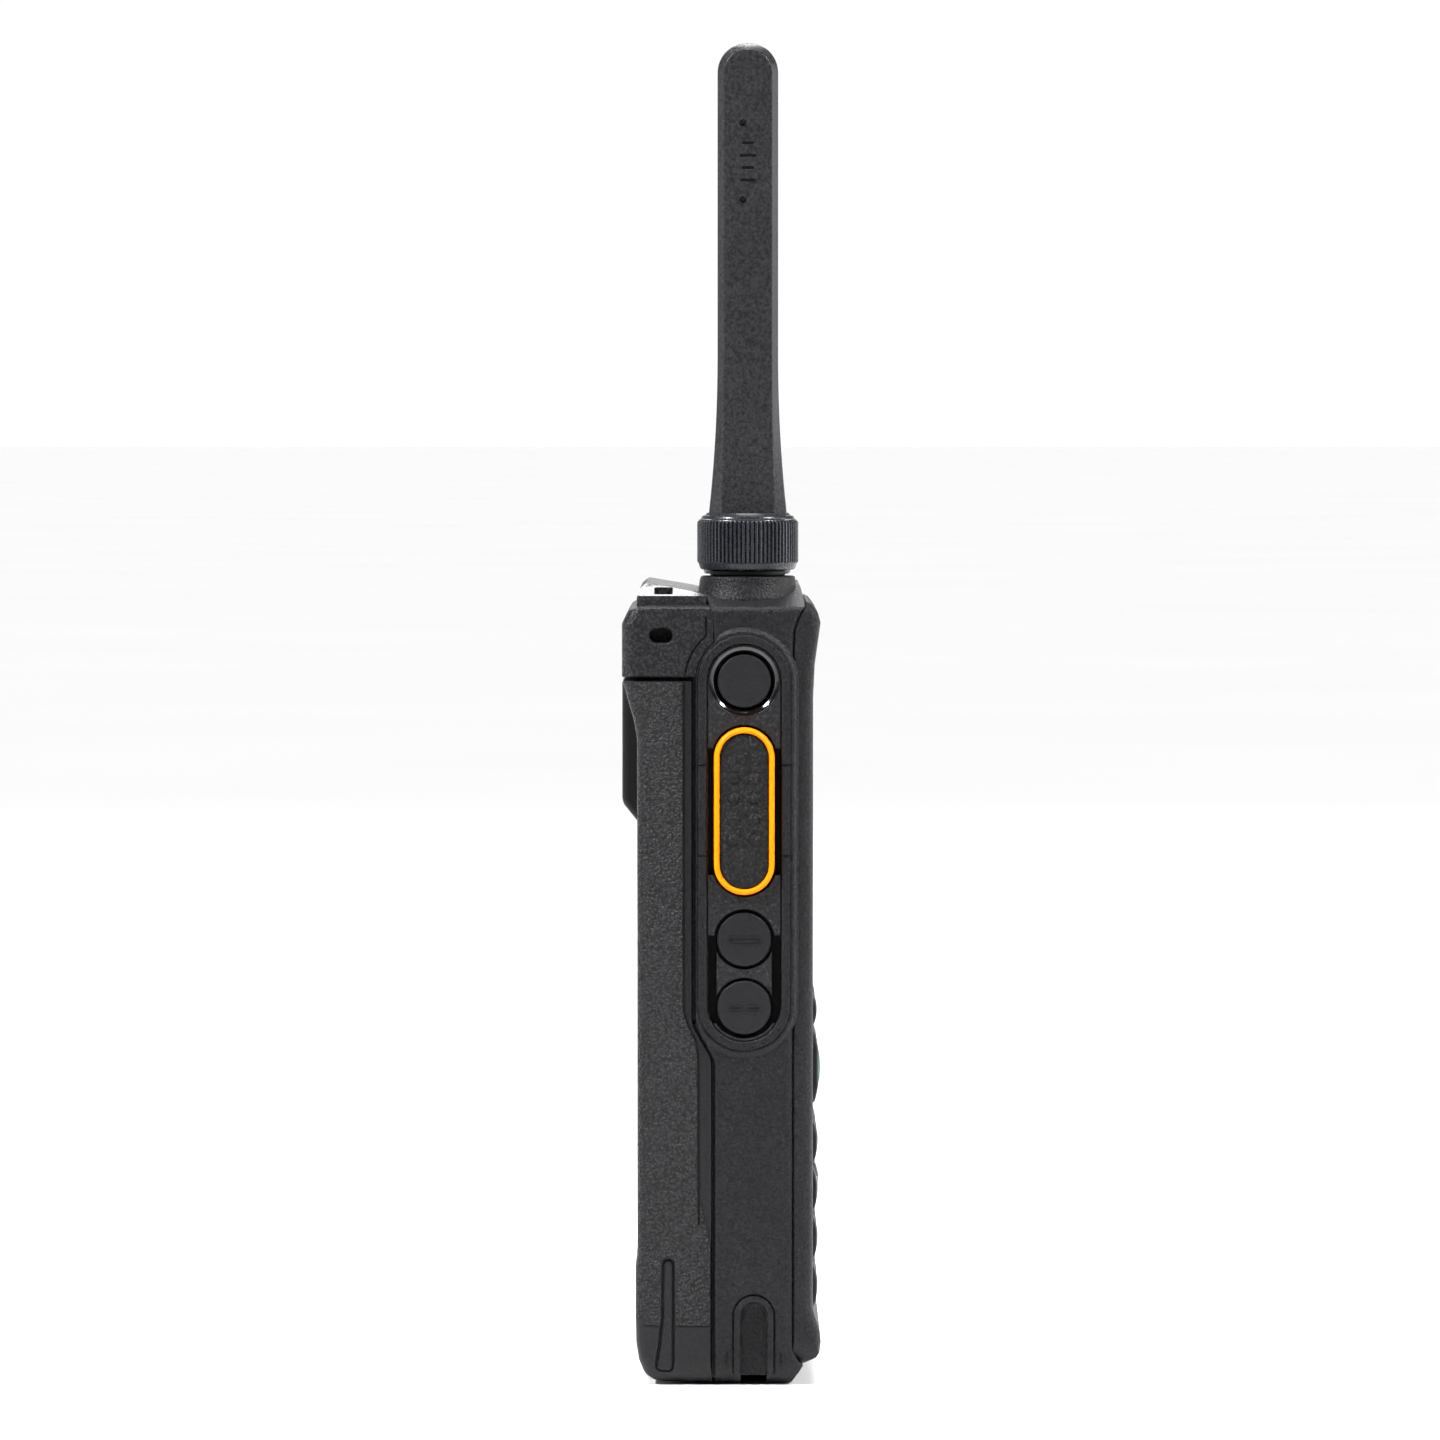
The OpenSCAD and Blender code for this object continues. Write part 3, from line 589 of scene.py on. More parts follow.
HOUSING_SIDE = rounded(
    [(-10.5, 0, 0.9), (1.6, 0, 0.25), (1.6, 52.6, 3.5), (4.7, 58.2, 3.5)]
    + [(y, z, 0) for y, z in arc(KEY_Y, TOP_KEY_Z, 4.7 - KEY_Y, 2, 52, 10)]
    + [(1.85, 123.4, 1.5), (2.3, 125.4, 0), (3.3, 127.8, 0.8), (3.6, CROWN_Z + 1, 0),
       (-11.6, CROWN_Z + 1, 0), (-12.3, 128.5, 0.4), (-12.75, 126.8, 0.4), (-12.85, 125.7, 0.4),
       (-11.8, 123.9, 1.5), (-11.1, 121.6, 2), (JOINT_Y, 116, 4), (JOINT_Y, 5.6, 1.2),
       (-11.8, 3.9, 0.5), (-12.7, 3.3, 0.3), (-11.7, 1.8, 1.2)]
)

SHOULDERS = rounded(
    [(-HALF_W, -2, 0), (HALF_W, -2, 0), (HALF_W, 125.6, 1.2), (15, CROWN_Z, 6),
     (-15, CROWN_Z, 6), (-HALF_W, 125.6, 1.2)], 6)

COVER_SIDE = rounded(
    [(JOINT_Y, 5.6, 1.2), (JOINT_Y, 116, 4), (-11.1, 121.6, 2), (-11.8, 123.9, 1.5),
     (-12.85, 125.7, 0.4), (-13.0, 126.7, 0.3), (-13.9, 126.2, 0.9), (-14.95, 124.8, 1.2),
     (-15.4, 123.2, 1.4), (-15.05, 120.6, 3), (-14.45, 116.4, 6), (FRONT_Y, 111, 8),
     (FRONT_Y, 12.4, 3), (-14.6, 10.9, 2), (-15.35, 8.6, 2), (-15.5, 6.9, 1.6), (-15.25, 5.1, 1),
     (-14.7, 4.3, 0.5), (-12.75, 3.35, 0.3), (-11.8, 3.9, 0.4)]
)


def front_weight(front, other):
    """Inset that is larger where an outline faces the front of the radio."""
    def amount(normal):
        share = min(1, max(0, -normal.x * 1.6 - 0.3))
        return other + (front - other) * share
    return amount


def front_outline_tool(name, half_w, corner):
    """Trims a piece to the radio's front outline: round lower corners and sloped shoulders."""
    low = arc(-half_w + corner, corner, corner, 180, 270, 8)
    low += arc(half_w - corner, corner, corner, 270, 360, 8)
    high = [p for p in SHOULDERS if p[1] > 100]
    return prism(name, low + high, -30, 30, "y")


# ---------- housing ----------

def key_rim():
    """The raised rim round the side key recess, with a soft slope outside."""
    profile = [(8.75, -26.6), (8.72, -27.47), (8.5, -27.56), (8.25, -27.74), (8.05, -27.95),
               (7.85, -28.02), (7.6, -27.98), (7.48, -27.9), (7.38, -28.0), (7.25, -28.16),
               (7.05, -28.2), (6.5, -28.2), (6.2, -28.15), (6.03, -28.0), (RECESS_R, -27.7),
               (RECESS_R, -25.5), (7.0, -25.5)]
    steps = 24

    def limit(degrees, upper):
        """How far out the slope may reach before it meets the housing's back edge."""
        if upper:
            return 7.72 + 1.1 * min(1, max(0, (degrees - 50) / 16))
        return 7.72 + 1.1 * min(1, max(0, -degrees / 55))

    rings = []
    for r, x in profile:
        ring = []
        for upper, start in ((True, 0), (False, 180)):
            for i in range(steps + 1):
                degrees = start + 180 * i / steps
                signed = degrees if upper else degrees - 360
                reach = min(r, limit(signed, upper))
                a = math.radians(degrees)
                z = TOP_KEY_Z if upper else LOW_ARC_Z
                ring.append((x, KEY_Y + reach * math.cos(a), z + reach * math.sin(a)))
        rings.append(ring)
    rim = skin("key_rim", rings, closed=True)
    marks = []
    for z in (85.7, 100.3):
        for side in (-1, 1):
            u0, u1 = sorted((KEY_Y + side * 5.6, KEY_Y + side * 7.9))
            outline = box_outline(u0, z - 0.13, u1, z + 0.13, 0.1, 2)
            marks.append(prism("mark", outline, -29, -27.85, "x"))
    return combine(rim, marks)


def seat(name, x, y, top_z, r):
    """A turned seat that flares into the crown of the housing."""
    profile = [(0.01, 120), (r + 0.75, 120), (r + 0.75, top_z - 3.6), (r + 0.6, top_z - 3.1),
               (r + 0.34, top_z - 2.4), (r + 0.12, top_z - 1.5), (r + 0.03, top_z - 0.8),
               (r, top_z - 0.35), (r - 0.08, top_z - 0.12), (r - 0.3, top_z), (0.01, top_z)]
    return lathe(name, profile, x, y, "z", 72)


def guide_tools(side):
    """The guide channel low on a side of the housing, with its deeper middle."""

    def cut(name, outline, depth):
        x0, x1 = sorted((side * (HALF_W - depth), side * (HALF_W + 1)))
        return prism(name, outline, x0, x1, "x")

    tools = [cut("guide_wide", slot_outline(GUIDE_R, GUIDE_Y, -3, GUIDE_TOP_Z - GUIDE_R, 14), 0.9),
             cut("guide_deep", slot_outline(2.1, GUIDE_Y, -3, 13.0 - 2.1, 14), 1.6)]
    for offset in (-4.35, 4.35):
        u = GUIDE_Y + offset
        tools.append(cut("guide_line", box_outline(u - 0.17, -1, u + 0.17, 5.5, 0.15, 2), 0.4))
    return tools


def corner_drop(z):
    """How far the round lower corner of the housing draws its side inwards at a height."""
    below = max(0, LOWER_CORNER - z)
    return LOWER_CORNER - math.sqrt(LOWER_CORNER ** 2 - below ** 2)


def guide_frames():
    """The raised arch that runs round each guide channel."""
    frames = []
    profile = [(3.25, -1.2), (3.25, -0.2), (3.15, -0.04), (2.98, 0.03), (2.45, 0.03), (2.28, -0.04),
               (2.16, -0.2), (2.12, -0.5), (2.12, -1.2)]
    top = GUIDE_TOP_Z - GUIDE_R
    leg = [0.3, 0.7, 1.2, 1.8, 2.6, 3.5, 4.5]
    path = [(z, 0) for z in leg]
    path += [(top, a) for a in range(0, 181, 10)]
    path += [(z, 180) for z in leg[::-1]]
    for side in (-1, 1):
        rings = []
        for z, angle in path:
            a = math.radians(angle)
            surface = HALF_W - corner_drop(z)
            rings.append([(side * (surface + x), GUIDE_Y + r * math.cos(a), z + r * math.sin(a))
                          for r, x in profile])
        frames.append(skin("guide_frame", rings))
    return frames


def seam_beads():
    """Low beads on the housing's back that close the joint towards the battery."""
    outlines = {
        "bead_low": [(1.4, 1.2), (2.09, 1.2), (2.09, 52.6), (1.4, 52.4)],
        "bead_high": [(4.4, 58.6), (5.24, 58.4), (5.24, 114.5), (4.4, 114.5)],
        "bead_slope": [(1.4, 52.2), (2.09, 52.5), (5.24, 58.1), (5.24, 59), (4.4, 59)],
    }
    return [prism(name, outline, *sorted((side * 24.9, side * 25.8)), "x")
            for side in (-1, 1) for name, outline in outlines.items()]


def build_housing():
    body = prism("housing_shell", HOUSING_SIDE, -HALF_W, HALF_W, "x",
                 soft=(0.45, front_weight(0.75, 0.4)), steps=4)
    combine(body, [front_outline_tool("trim", HALF_W, LOWER_CORNER)], "INTERSECT")
    combine(body, [seat("antenna_seat", ANTENNA.x, ANTENNA.y, SEAT_Z, 7.68),
                   seat("knob_seat", KNOB.x, KNOB.y, 129.45, 7.9)], "UNION")
    top_bores = [
        ("antenna_bore", ANTENNA, 5.0, 130.2, 5.4, 130.6),
        ("knob_bore", KNOB, 4.5, 129.1, 4.9, 129.6),
        ("button_bore", BUTTON, 4.6, CROWN_Z - 0.35, 5.1, CROWN_Z + 0.15),
    ]
    cavity = box_outline(-CAVITY_HALF_W, 2.2, CAVITY_HALF_W, 121.5, 2.5)
    tools = [
        prism("cavity", cavity, -10.95, 6, "y"),
        prism("recess", slot_outline(RECESS_R + 0.3, KEY_Y, LOW_ARC_Z, TOP_KEY_Z), -29, -25, "x"),
    ]
    tools += [drill(name, [(r, 121), (r, z), (wide, flare_z), (wide, 132)], at.x, at.y, "z")
              for name, at, r, z, wide, flare_z in top_bores]
    tools += [
        prism("lamp_hole", box_outline(-3, -11.1, 3, -9.5, 0.3, 2), 121, 132, "z"),
        prism("socket_pocket", box_outline(-9.2, 84, 2.8, 112, 2.5), 25.9, 30, "x"),
        prism("socket_hole", box_outline(-7.2, 88, 0.8, 104, 1), 24, 30, "x"),
        drill("screw_hole", [(1.55, 19), (1.55, 30)], SCREW_Y, SCREW_Z, "x", 32),
        prism("base_groove", [(-6.75, -1), (-2.55, -1), (-2.55, 1.6), (-6.75, 1.6)], -30, 30, "x"),
        prism("latch_slot", [(-6.2, 0.55), (6.2, 0.55), (6.2, 1.65), (-6.2, 1.65)], -0.4, 3, "y"),
    ]
    combine(body, tools + guide_tools(-1) + guide_tools(1))
    boss = lathe("screw_boss", [(1.55, 20), (3, 20), (3, 25.5), (1.55, 25.5)], SCREW_Y, SCREW_Z,
                 "x", 32, closed=True)
    lean_sides(body, SIDE_CREASE_Y, SIDE_LEAN)
    join(body, [key_rim(), boss] + guide_frames() + seam_beads())
    finish_piece(body, "radio", housing_plastic, ["main_housing"])


# ---------- side keys ----------

def build_key_panel():
    front = -27.9
    r = RECESS_R - 0.08
    panel = prism("key_panel", slot_outline(r, KEY_Y, LOW_ARC_Z, TOP_KEY_Z, 24), front, -25.4, "x",
                  soft=0.14, steps=2, end="low")
    well = [(5.5, -28.5), (5.35, front), (5.15, front + 0.45), (5.15, -24)]
    tools = [
        drill("dish_seat", [(5.66, -29), (5.66, -24)], KEY_Y, TOP_KEY_Z, "x", 64),
        stack("ptt_well", [(slot_outline(r, KEY_Y, PTT_LOW_Z, PTT_HIGH_Z), x) for r, x in well], "x"),
        prism("ptt_moat", box_outline(KEY_Y - 7, 82.6, KEY_Y + 7, 103.0, 0.6), -29, -26.3, "x"),
        prism("low_pocket", box_outline(KEY_Y - 7, LOW_ARC_Z - 3, KEY_Y + 7, 72.9, 0.7), -29, -26.4,
              "x"),
        prism("low_round", circle_outline(KEY_Y, LOW_ARC_Z, 5.45), -29, -26.4, "x"),
        prism("key_well_high", circle_outline(KEY_Y, MINUS_Z, 4.92), -29, -26.4, "x"),
    ]
    tools += [drill("key_hole", [(4.6, -29), (4.6, -24)], KEY_Y, z, "x") for z in (MINUS_Z, DASH_Z)]
    combine(panel, tools)
    island = prism("island", box_outline(KEY_Y - 4.45, DASH_Z, KEY_Y + 4.45, MINUS_Z, 0.1, 2), -27.65,
                   -26.0, "x", soft=0.2, steps=3, end="low")
    combine(island, [prism("island_cut", circle_outline(KEY_Y, z, 4.85), -29, -24, "x")
                     for z in (MINUS_Z, DASH_Z)])
    join(panel, [island])
    finish_piece(panel, "radio", [panel_plastic, painted_recess_shade], ["side_key_panel"])
    # Painted shade: faces set back behind the panel's face, in its moats and wells, get the near-black
    # material.
    paint_second(panel, lambda face: face.center.x > -27.45 * MM)

    dish = lathe("key_dish", [(5.64, -25.5), (5.64, -27.95), (5.56, -28.02), (5.46, -28.0),
                              (5.3, -27.9), (5.05, -27.73), (4.8, -27.54), (4.62, -27.3),
                              (4.5, -26.9), (4.45, -26.7), (4.45, -25.5)], KEY_Y, TOP_KEY_Z, "x", 96,
                 closed=True)
    finish_piece(dish, "radio", gloss_plastic)


def round_key(name, z, r):
    face = SIDE_KEY_FACE
    profile = [(AXIS_R, face - 0.02), (r * 0.5, face - 0.015), (r - 0.45, face), (r - 0.2, face + 0.06),
               (r - 0.05, face + 0.22), (r, face + 0.5), (r, -25.0), (r + 0.75, -25.0),
               (r + 0.75, -24.4), (AXIS_R, -24.4)]
    key = lathe(name + "_cap", profile, KEY_Y, z, "x", 72)
    finish_piece(key, name, key_rubber, [name])


def raised_bar(name, y, z, length, width, body):
    """A slim bar with round ends on a side key, lying across the radio."""
    height = 0.25
    shape = [(0, 0.49, -0.8), (0, 0.49, 0.4), (0.09, 0.4, 1), (0.2, 0.28, 1), (0.27, 0.2, 0.3)]
    layers = []
    for drop, roundness, rise in shape:
        outline = box_outline(y - length / 2 + drop, z - width / 2 + drop, y + length / 2 - drop,
                              z + width / 2 - drop, width * roundness, 5)
        layers.append((outline, SIDE_KEY_FACE - height * rise))
    finish_piece(stack(name, layers, "x"), body, key_rubber)


def build_side_keys():
    round_key("top_key", TOP_KEY_Z, 4.27)
    round_key("key_minus", MINUS_Z, 4.35)
    round_key("key_dash", DASH_Z, 4.35)
    raised_bar("minus_mark", KEY_Y, MINUS_Z, 5.3, 0.95, "key_minus")
    raised_bar("dash_mark_front", KEY_Y - 1.5, DASH_Z, 2.2, 0.75, "key_dash")
    raised_bar("dash_mark_rear", KEY_Y + 1.5, DASH_Z, 2.2, 0.75, "key_dash")

    def slot_stack(name, profile, **options):
        layers = [(slot_outline(r, KEY_Y, PTT_LOW_Z, PTT_HIGH_Z, 24), x) for r, x in profile]
        return stack(name, layers, "x", **options)

    ring = slot_stack("ptt_band", [(4.88, -25.5), (4.88, -28.4), (4.82, -28.72), (4.68, -28.97),
                                   (4.44, -29.1), (4.2, -29.04), (4.05, -28.85), (3.98, -28.6),
                                   (3.98, -25.5)], closed=True)
    finish_piece(ring, "ptt", orange_plastic, ["ptt_ring"])

    pad = slot_stack("ptt_cap", [(5.35, -24.4), (5.35, -25.0), (3.94, -25.0), (3.94, -28.35),
                                 (3.88, -28.55), (3.7, -28.63), (3.2, -28.67), (2.4, -28.69),
                                 (1.4, -28.7), (0.3, -28.7)])
    bump_profile = [(0.95, -28.55), (0.9, -28.72), (0.76, -28.9), (0.56, -29.03), (0.3, -29.1),
                    (0.02, -29.1)]
    join(pad, [lathe("bump", bump_profile, KEY_Y + side * 1.67, z, "x", 20)
               for z in (98.2, 95.0, 91.7, 88.3) for side in (-1, 1)])
    finish_piece(pad, "ptt", pad_rubber, ["ptt_pad"])


# ---------- front cover and its keys ----------

NUMBER_NODES = ["key_1", "key_2", "key_3", "key_4", "key_5", "key_6",
                "key_7", "key_8", "key_9", "key_star", "key_0", "key_hash"]
KEY_GAP = 0.25
FLANGE_X = 0.6
FLANGE_Z = 0.3
SAG_ACROSS = 0.2
SAG_UPRIGHT = 0.75


def cap_box(node):
    """Centre and size of a key's cap, which is its node without the flange round it."""
    low, high = node_box(node)
    centre = (low + high) / 2
    width = high.x - low.x - 2 * FLANGE_X
    height = high.z - low.z - 2 * FLANGE_Z
    return centre.x, centre.z, width, height, -(low.y - FRONT_Y)


def key_opening(node, corner):
    x, z, width, height, _ = cap_box(node)
    g = KEY_GAP
    outline = box_outline(x - width / 2 - g, z - height / 2 - g, x + width / 2 + g,
                          z + height / 2 + g, corner + g)
    wide = inset(outline, -0.18)
    return stack("opening", [(wide, -16), (wide, FRONT_Y - 0.02), (outline, FRONT_Y + 0.16),
                             (outline, -11)], "y")


def build_cover():
    cover = prism("front_face", COVER_SIDE, -HALF_W, HALF_W, "x",
                  soft=(1.5, front_weight(1.5, 0.35)), steps=6)
    corner = prism("corner_trim", box_outline(-HALF_W, 3.2, HALF_W, 132, 4.4, 8), -20, 0, "y")
    combine(cover, [corner], "INTERSECT")
    cavity = box_outline(-CAVITY_HALF_W, 6, CAVITY_HALF_W, 121, 2)
    tools = [
        prism("cover_cavity", cavity, PLATE_Y, -10, "y"),
        prism("lens_seat", box_outline(-22.5, 65, 22.5, 97.6, 2), -20, FRONT_Y + 1.1, "y"),
        prism("lens_hole", box_outline(-20.5, 67, 20.5, 95.6, 0.6), -20, -11, "y"),
        drill("mic_hole", [(0.75, -20), (0.75, FRONT_Y), (0.5, FRONT_Y + 0.3), (0.5, -11)], -20, 9,
              "y", 24),
    ]
    for i, half in enumerate((9, 13, 15, 13, 9)):
        z = 102 + 3.5 * i
        slot = box_outline(-half, z - 0.75, half, z + 0.75, 0.74, 5)
        wide = inset(slot, -0.3)
        tools.append(stack("slot", [(wide, -16), (wide, FRONT_Y - 0.02),
                                    (inset(slot, -0.09), FRONT_Y + 0.1), (slot, FRONT_Y + 0.3),
                                    (slot, -11)], "y"))
    corners = dict.fromkeys(NUMBER_NODES, 2.2)
    corners.update(soft_key_left=1.8, soft_key_right=1.8, call_key=3, end_key=3, nav_pad=4)
    tools += [key_opening(node, radius) for node, radius in corners.items()]
    combine(cover, tools)
    lean_sides(cover, SIDE_CREASE_Y, SIDE_LEAN)
    finish_piece(cover, "radio", housing_plastic, ["front_cover"])

    lens = prism("screen_lens", box_outline(-22.4, 65.1, 22.4, 97.5, 1.9), FRONT_Y + 0.1,
                 FRONT_Y + 1.1, "y", soft=0.25, steps=3, end="low")
    finish_piece(lens, "radio", screen_glass, ["lcd_window"])
    face = prism("screen_area", box_outline(-19.2, 68.4, 19.2, 94.2, 0.5), FRONT_Y + 0.07,
                 FRONT_Y + 0.3, "y")
    finish_piece(face, "radio", screen_face)


def dome_height(u, v, proud):
    """y of a key's bulging face. u and v run from -1 to 1 across the cap."""
    return FRONT_Y - proud * (1 - SAG_UPRIGHT * v * v) * (1 - SAG_ACROSS * u * u)


def domed_key(name, node, corner, hole=None, body=None, back=-11.2, skirt=-11.8):
    """A key cap with a face that bulges, a rounded edge and the flange behind the cover. hole is
    the radius of a round opening in its middle."""
    x, z, width, height, proud = cap_box(node)
    outline = box_outline(-width / 2, -height / 2, width / 2, height / 2, corner, 7)
    flange = box_outline(-width / 2 - FLANGE_X, -height / 2 - FLANGE_Z, width / 2 + FLANGE_X,
                         height / 2 + FLANGE_Z, corner, 7)
    edge = 0.35

    def flat_ring(points, y):
        return [(x + u, y, z + v) for u, v in points]

    def face_ring(points, drop):
        return [(x + u, dome_height(2 * u / width, 2 * v / height, proud) + drop, z + v)
                for u, v in points]

    rings = [flat_ring(flange, back), flat_ring(flange, skirt), flat_ring(outline, skirt)]
    for i in range(5):
        a = math.radians(90 * i / 4)
        ring = inset(outline, edge * (1 - math.cos(a)))
        rings.append(face_ring(ring, edge * (1 - math.sin(a))))
    outer = inset(outline, edge)
    if hole is None:
        for scale in (0.8, 0.6, 0.4, 0.2, 0.04):
            rings.append(face_ring([(u * scale, v * scale) for u, v in outer], 0))
    else:
        for share in (0.3, 0.6, 0.9):
            ring = []
            for point in outer:
                spot = Vector(point)
                ring.append(tuple(spot.lerp(spot.normalized() * (hole + 0.25), share)))
            rings.append(face_ring(ring, 0))
        rim = [tuple(Vector(p).normalized() * (hole + 0.1)) for p in outer]
        wall = [tuple(Vector(p).normalized() * hole) for p in outer]
        rings += [face_ring(rim, 0.12), face_ring(wall, 0.35), flat_ring(wall, back)]
    key = skin(name, rings, closed=hole is not None)
    finish_piece(key, body or node, key_rubber, [node])


def glyph(name, text, node, size, lower):
    """A raised white digit or sign on a key's bulging face."""
    curve = bpy.data.curves.new(name, "FONT")
    curve.body = text
    curve.size = size
    curve.align_x = "CENTER"
    curve.align_y = "CENTER"
    curve.extrude = 0.08
    curve.offset = 0.035
    curve.resolution_u = 4
    temporary = add_object(name + "_text", curve)
    bpy.context.view_layer.update()
    mesh = bpy.data.meshes.new_from_object(temporary)
    bpy.data.objects.remove(temporary)
    drape(name, mesh, node, node, mark_white, (0, -lower))


def drape(name, mesh, node, body, material, shift):
    """Lays a flat mark, drawn in its own x and y, on a key's face, and finishes it."""
    x, z, width, height, proud = cap_box(node)
    work = bmesh.new()
    work.from_mesh(mesh)
    for _ in range(4):
        bmesh.ops.triangulate(work, faces=work.faces)
        long_edges = [e for e in work.edges if e.calc_length() > 0.45]
        bmesh.ops.subdivide_edges(work, edges=long_edges, cuts=1)
    work.to_mesh(mesh)
    work.free()
    for vertex in mesh.vertices:
        u = vertex.co.x + shift[0]
        v = vertex.co.y + shift[1]
        lift = 0.05 if vertex.co.z > 0 else -0.08
        y = dome_height(2 * u / width, 2 * v / height, proud) - lift
        vertex.co = (x + u, y, z + v)
    tidy_normals(mesh)
    finish_piece(add_object(name, mesh), body, material)


def flat_mark(name, outlines, node, body, material, turn, shift=(0, 0)):
    """A thin mark made of outlines, turned and laid on a key's face."""
    work = bmesh.new()
    for outline in outlines:
        spun = [Matrix.Rotation(turn, 2) @ Vector(p) for p in outline]
        front = [work.verts.new((p.x, p.y, 0.1)) for p in spun]
        back = [work.verts.new((p.x, p.y, -0.1)) for p in spun]
        work.faces.new(front)
        work.faces.new(back[::-1])
        for i in range(len(front)):
            work.faces.new((front[i - 1], front[i], back[i], back[i - 1]))
    mesh = bpy.data.meshes.new(name)
    work.to_mesh(mesh)
    work.free()
    drape(name, mesh, node, body, material, shift)


def handset_outlines():
    """A plain telephone handset sign: a bow with a block at each end."""
    outlines = [arc(0, -2.0, 3.6, 48, 132, 10) + arc(0, -2.0, 2.7, 132, 48, 10)]
    for side in (-1, 1):
        a = math.radians(90 + side * 46)
        cu = 3.0 * math.cos(a)
        cv = -2.0 + 3.0 * math.sin(a)
        outlines.append([(cu + du, cv + dv) for du, dv in
                         ((-0.75, -0.75), (0.75, -0.75), (0.75, 0.6), (-0.75, 0.6))])
    return outlines


def build_front_keys():
    for node, sign in zip(NUMBER_NODES, "123456789*0#"):
        domed_key(node + "_cap", node, 2.2)
        glyph(node + "_digit", sign, node, 4.4, 0.9 if sign == "*" else 0)
    for node in ("soft_key_left", "soft_key_right"):
        domed_key(node + "_cap", node, 1.8)
        glyph(node + "_sign", "-", node, 5.0, 0.4)
    for node, material, turn in (("call_key", mark_green, 0.5), ("end_key", mark_red, 0.0)):
        domed_key(node + "_cap", node, 3.0)
        flat_mark(node + "_sign", handset_outlines(), node, node, material, turn)
    domed_key("nav_ring", "nav_pad", 4.0, hole=4.3, body="nav", back=-11.0, skirt=-11.5)
    arrow = [(-0.7, -0.35), (0.7, -0.35), (0, 0.5)]
    places = [(0, 4.95, 0), (0, -4.95, math.pi), (-7.4, 0, math.pi / 2), (7.4, 0, -math.pi / 2)]
    for i, (u, v, turn) in enumerate(places):
        flat_mark(f"nav_arrow_{i}", [arrow], "nav_pad", "nav", mark_white, turn, (u, v))

    nav = node_centre("nav_pad")
    top = node_box("ok_key")[0].y
    profile = [(0.02, top), (1.5, top + 0.05), (2.8, top + 0.19), (3.45, top + 0.34),
               (3.75, top + 0.5), (3.9, top + 0.8), (3.95, top + 1.2), (3.95, -10.9), (0.02, -10.9)]
    ok = lathe("select_key", profile, nav.x, nav.z, "y", 64)
    finish_piece(ok, "ok_key", key_rubber, ["ok_key"])
    ring_profile = [(1.15, top + 0.12), (1.15, top - 0.02), (1.5, top), (1.5, top + 0.12)]
    ring = lathe("select_mark", ring_profile, nav.x, nav.z, "y", 40, closed=True)
    finish_piece(ring, "ok_key", mark_white)


# ---------- antenna ----------

def whip_section(z):
    """Half widths of the whip at a height: outline y, flat face y, face x and edge x."""
    r = 4.9
    face = 3.85
    centre_z = TIP_Z - r
    rise = max(0, min(1, (166 - z) / 25.3))
    grow = 1.4 * rise * rise
    thick = 4.1 + grow * 0.9
    edge = 2.5 + grow * 0.9
    dz = z - centre_z
    if dz <= 0:
        return r + grow, face + grow * 0.25, thick, edge
    outline = math.sqrt(max(0.04, r * r - dz * dz))
    if dz < face - 0.05:
        return outline, max(0.2, math.sqrt(face * face - dz * dz)), thick, edge
    share = (r - dz) / (r - face + 0.05)
    top = edge + (thick - edge) * share
    squeeze = min(1, math.sqrt(max(0.0, share * (2 - share))) + 0.05)
    return outline, 0.2, top * squeeze, edge * squeeze


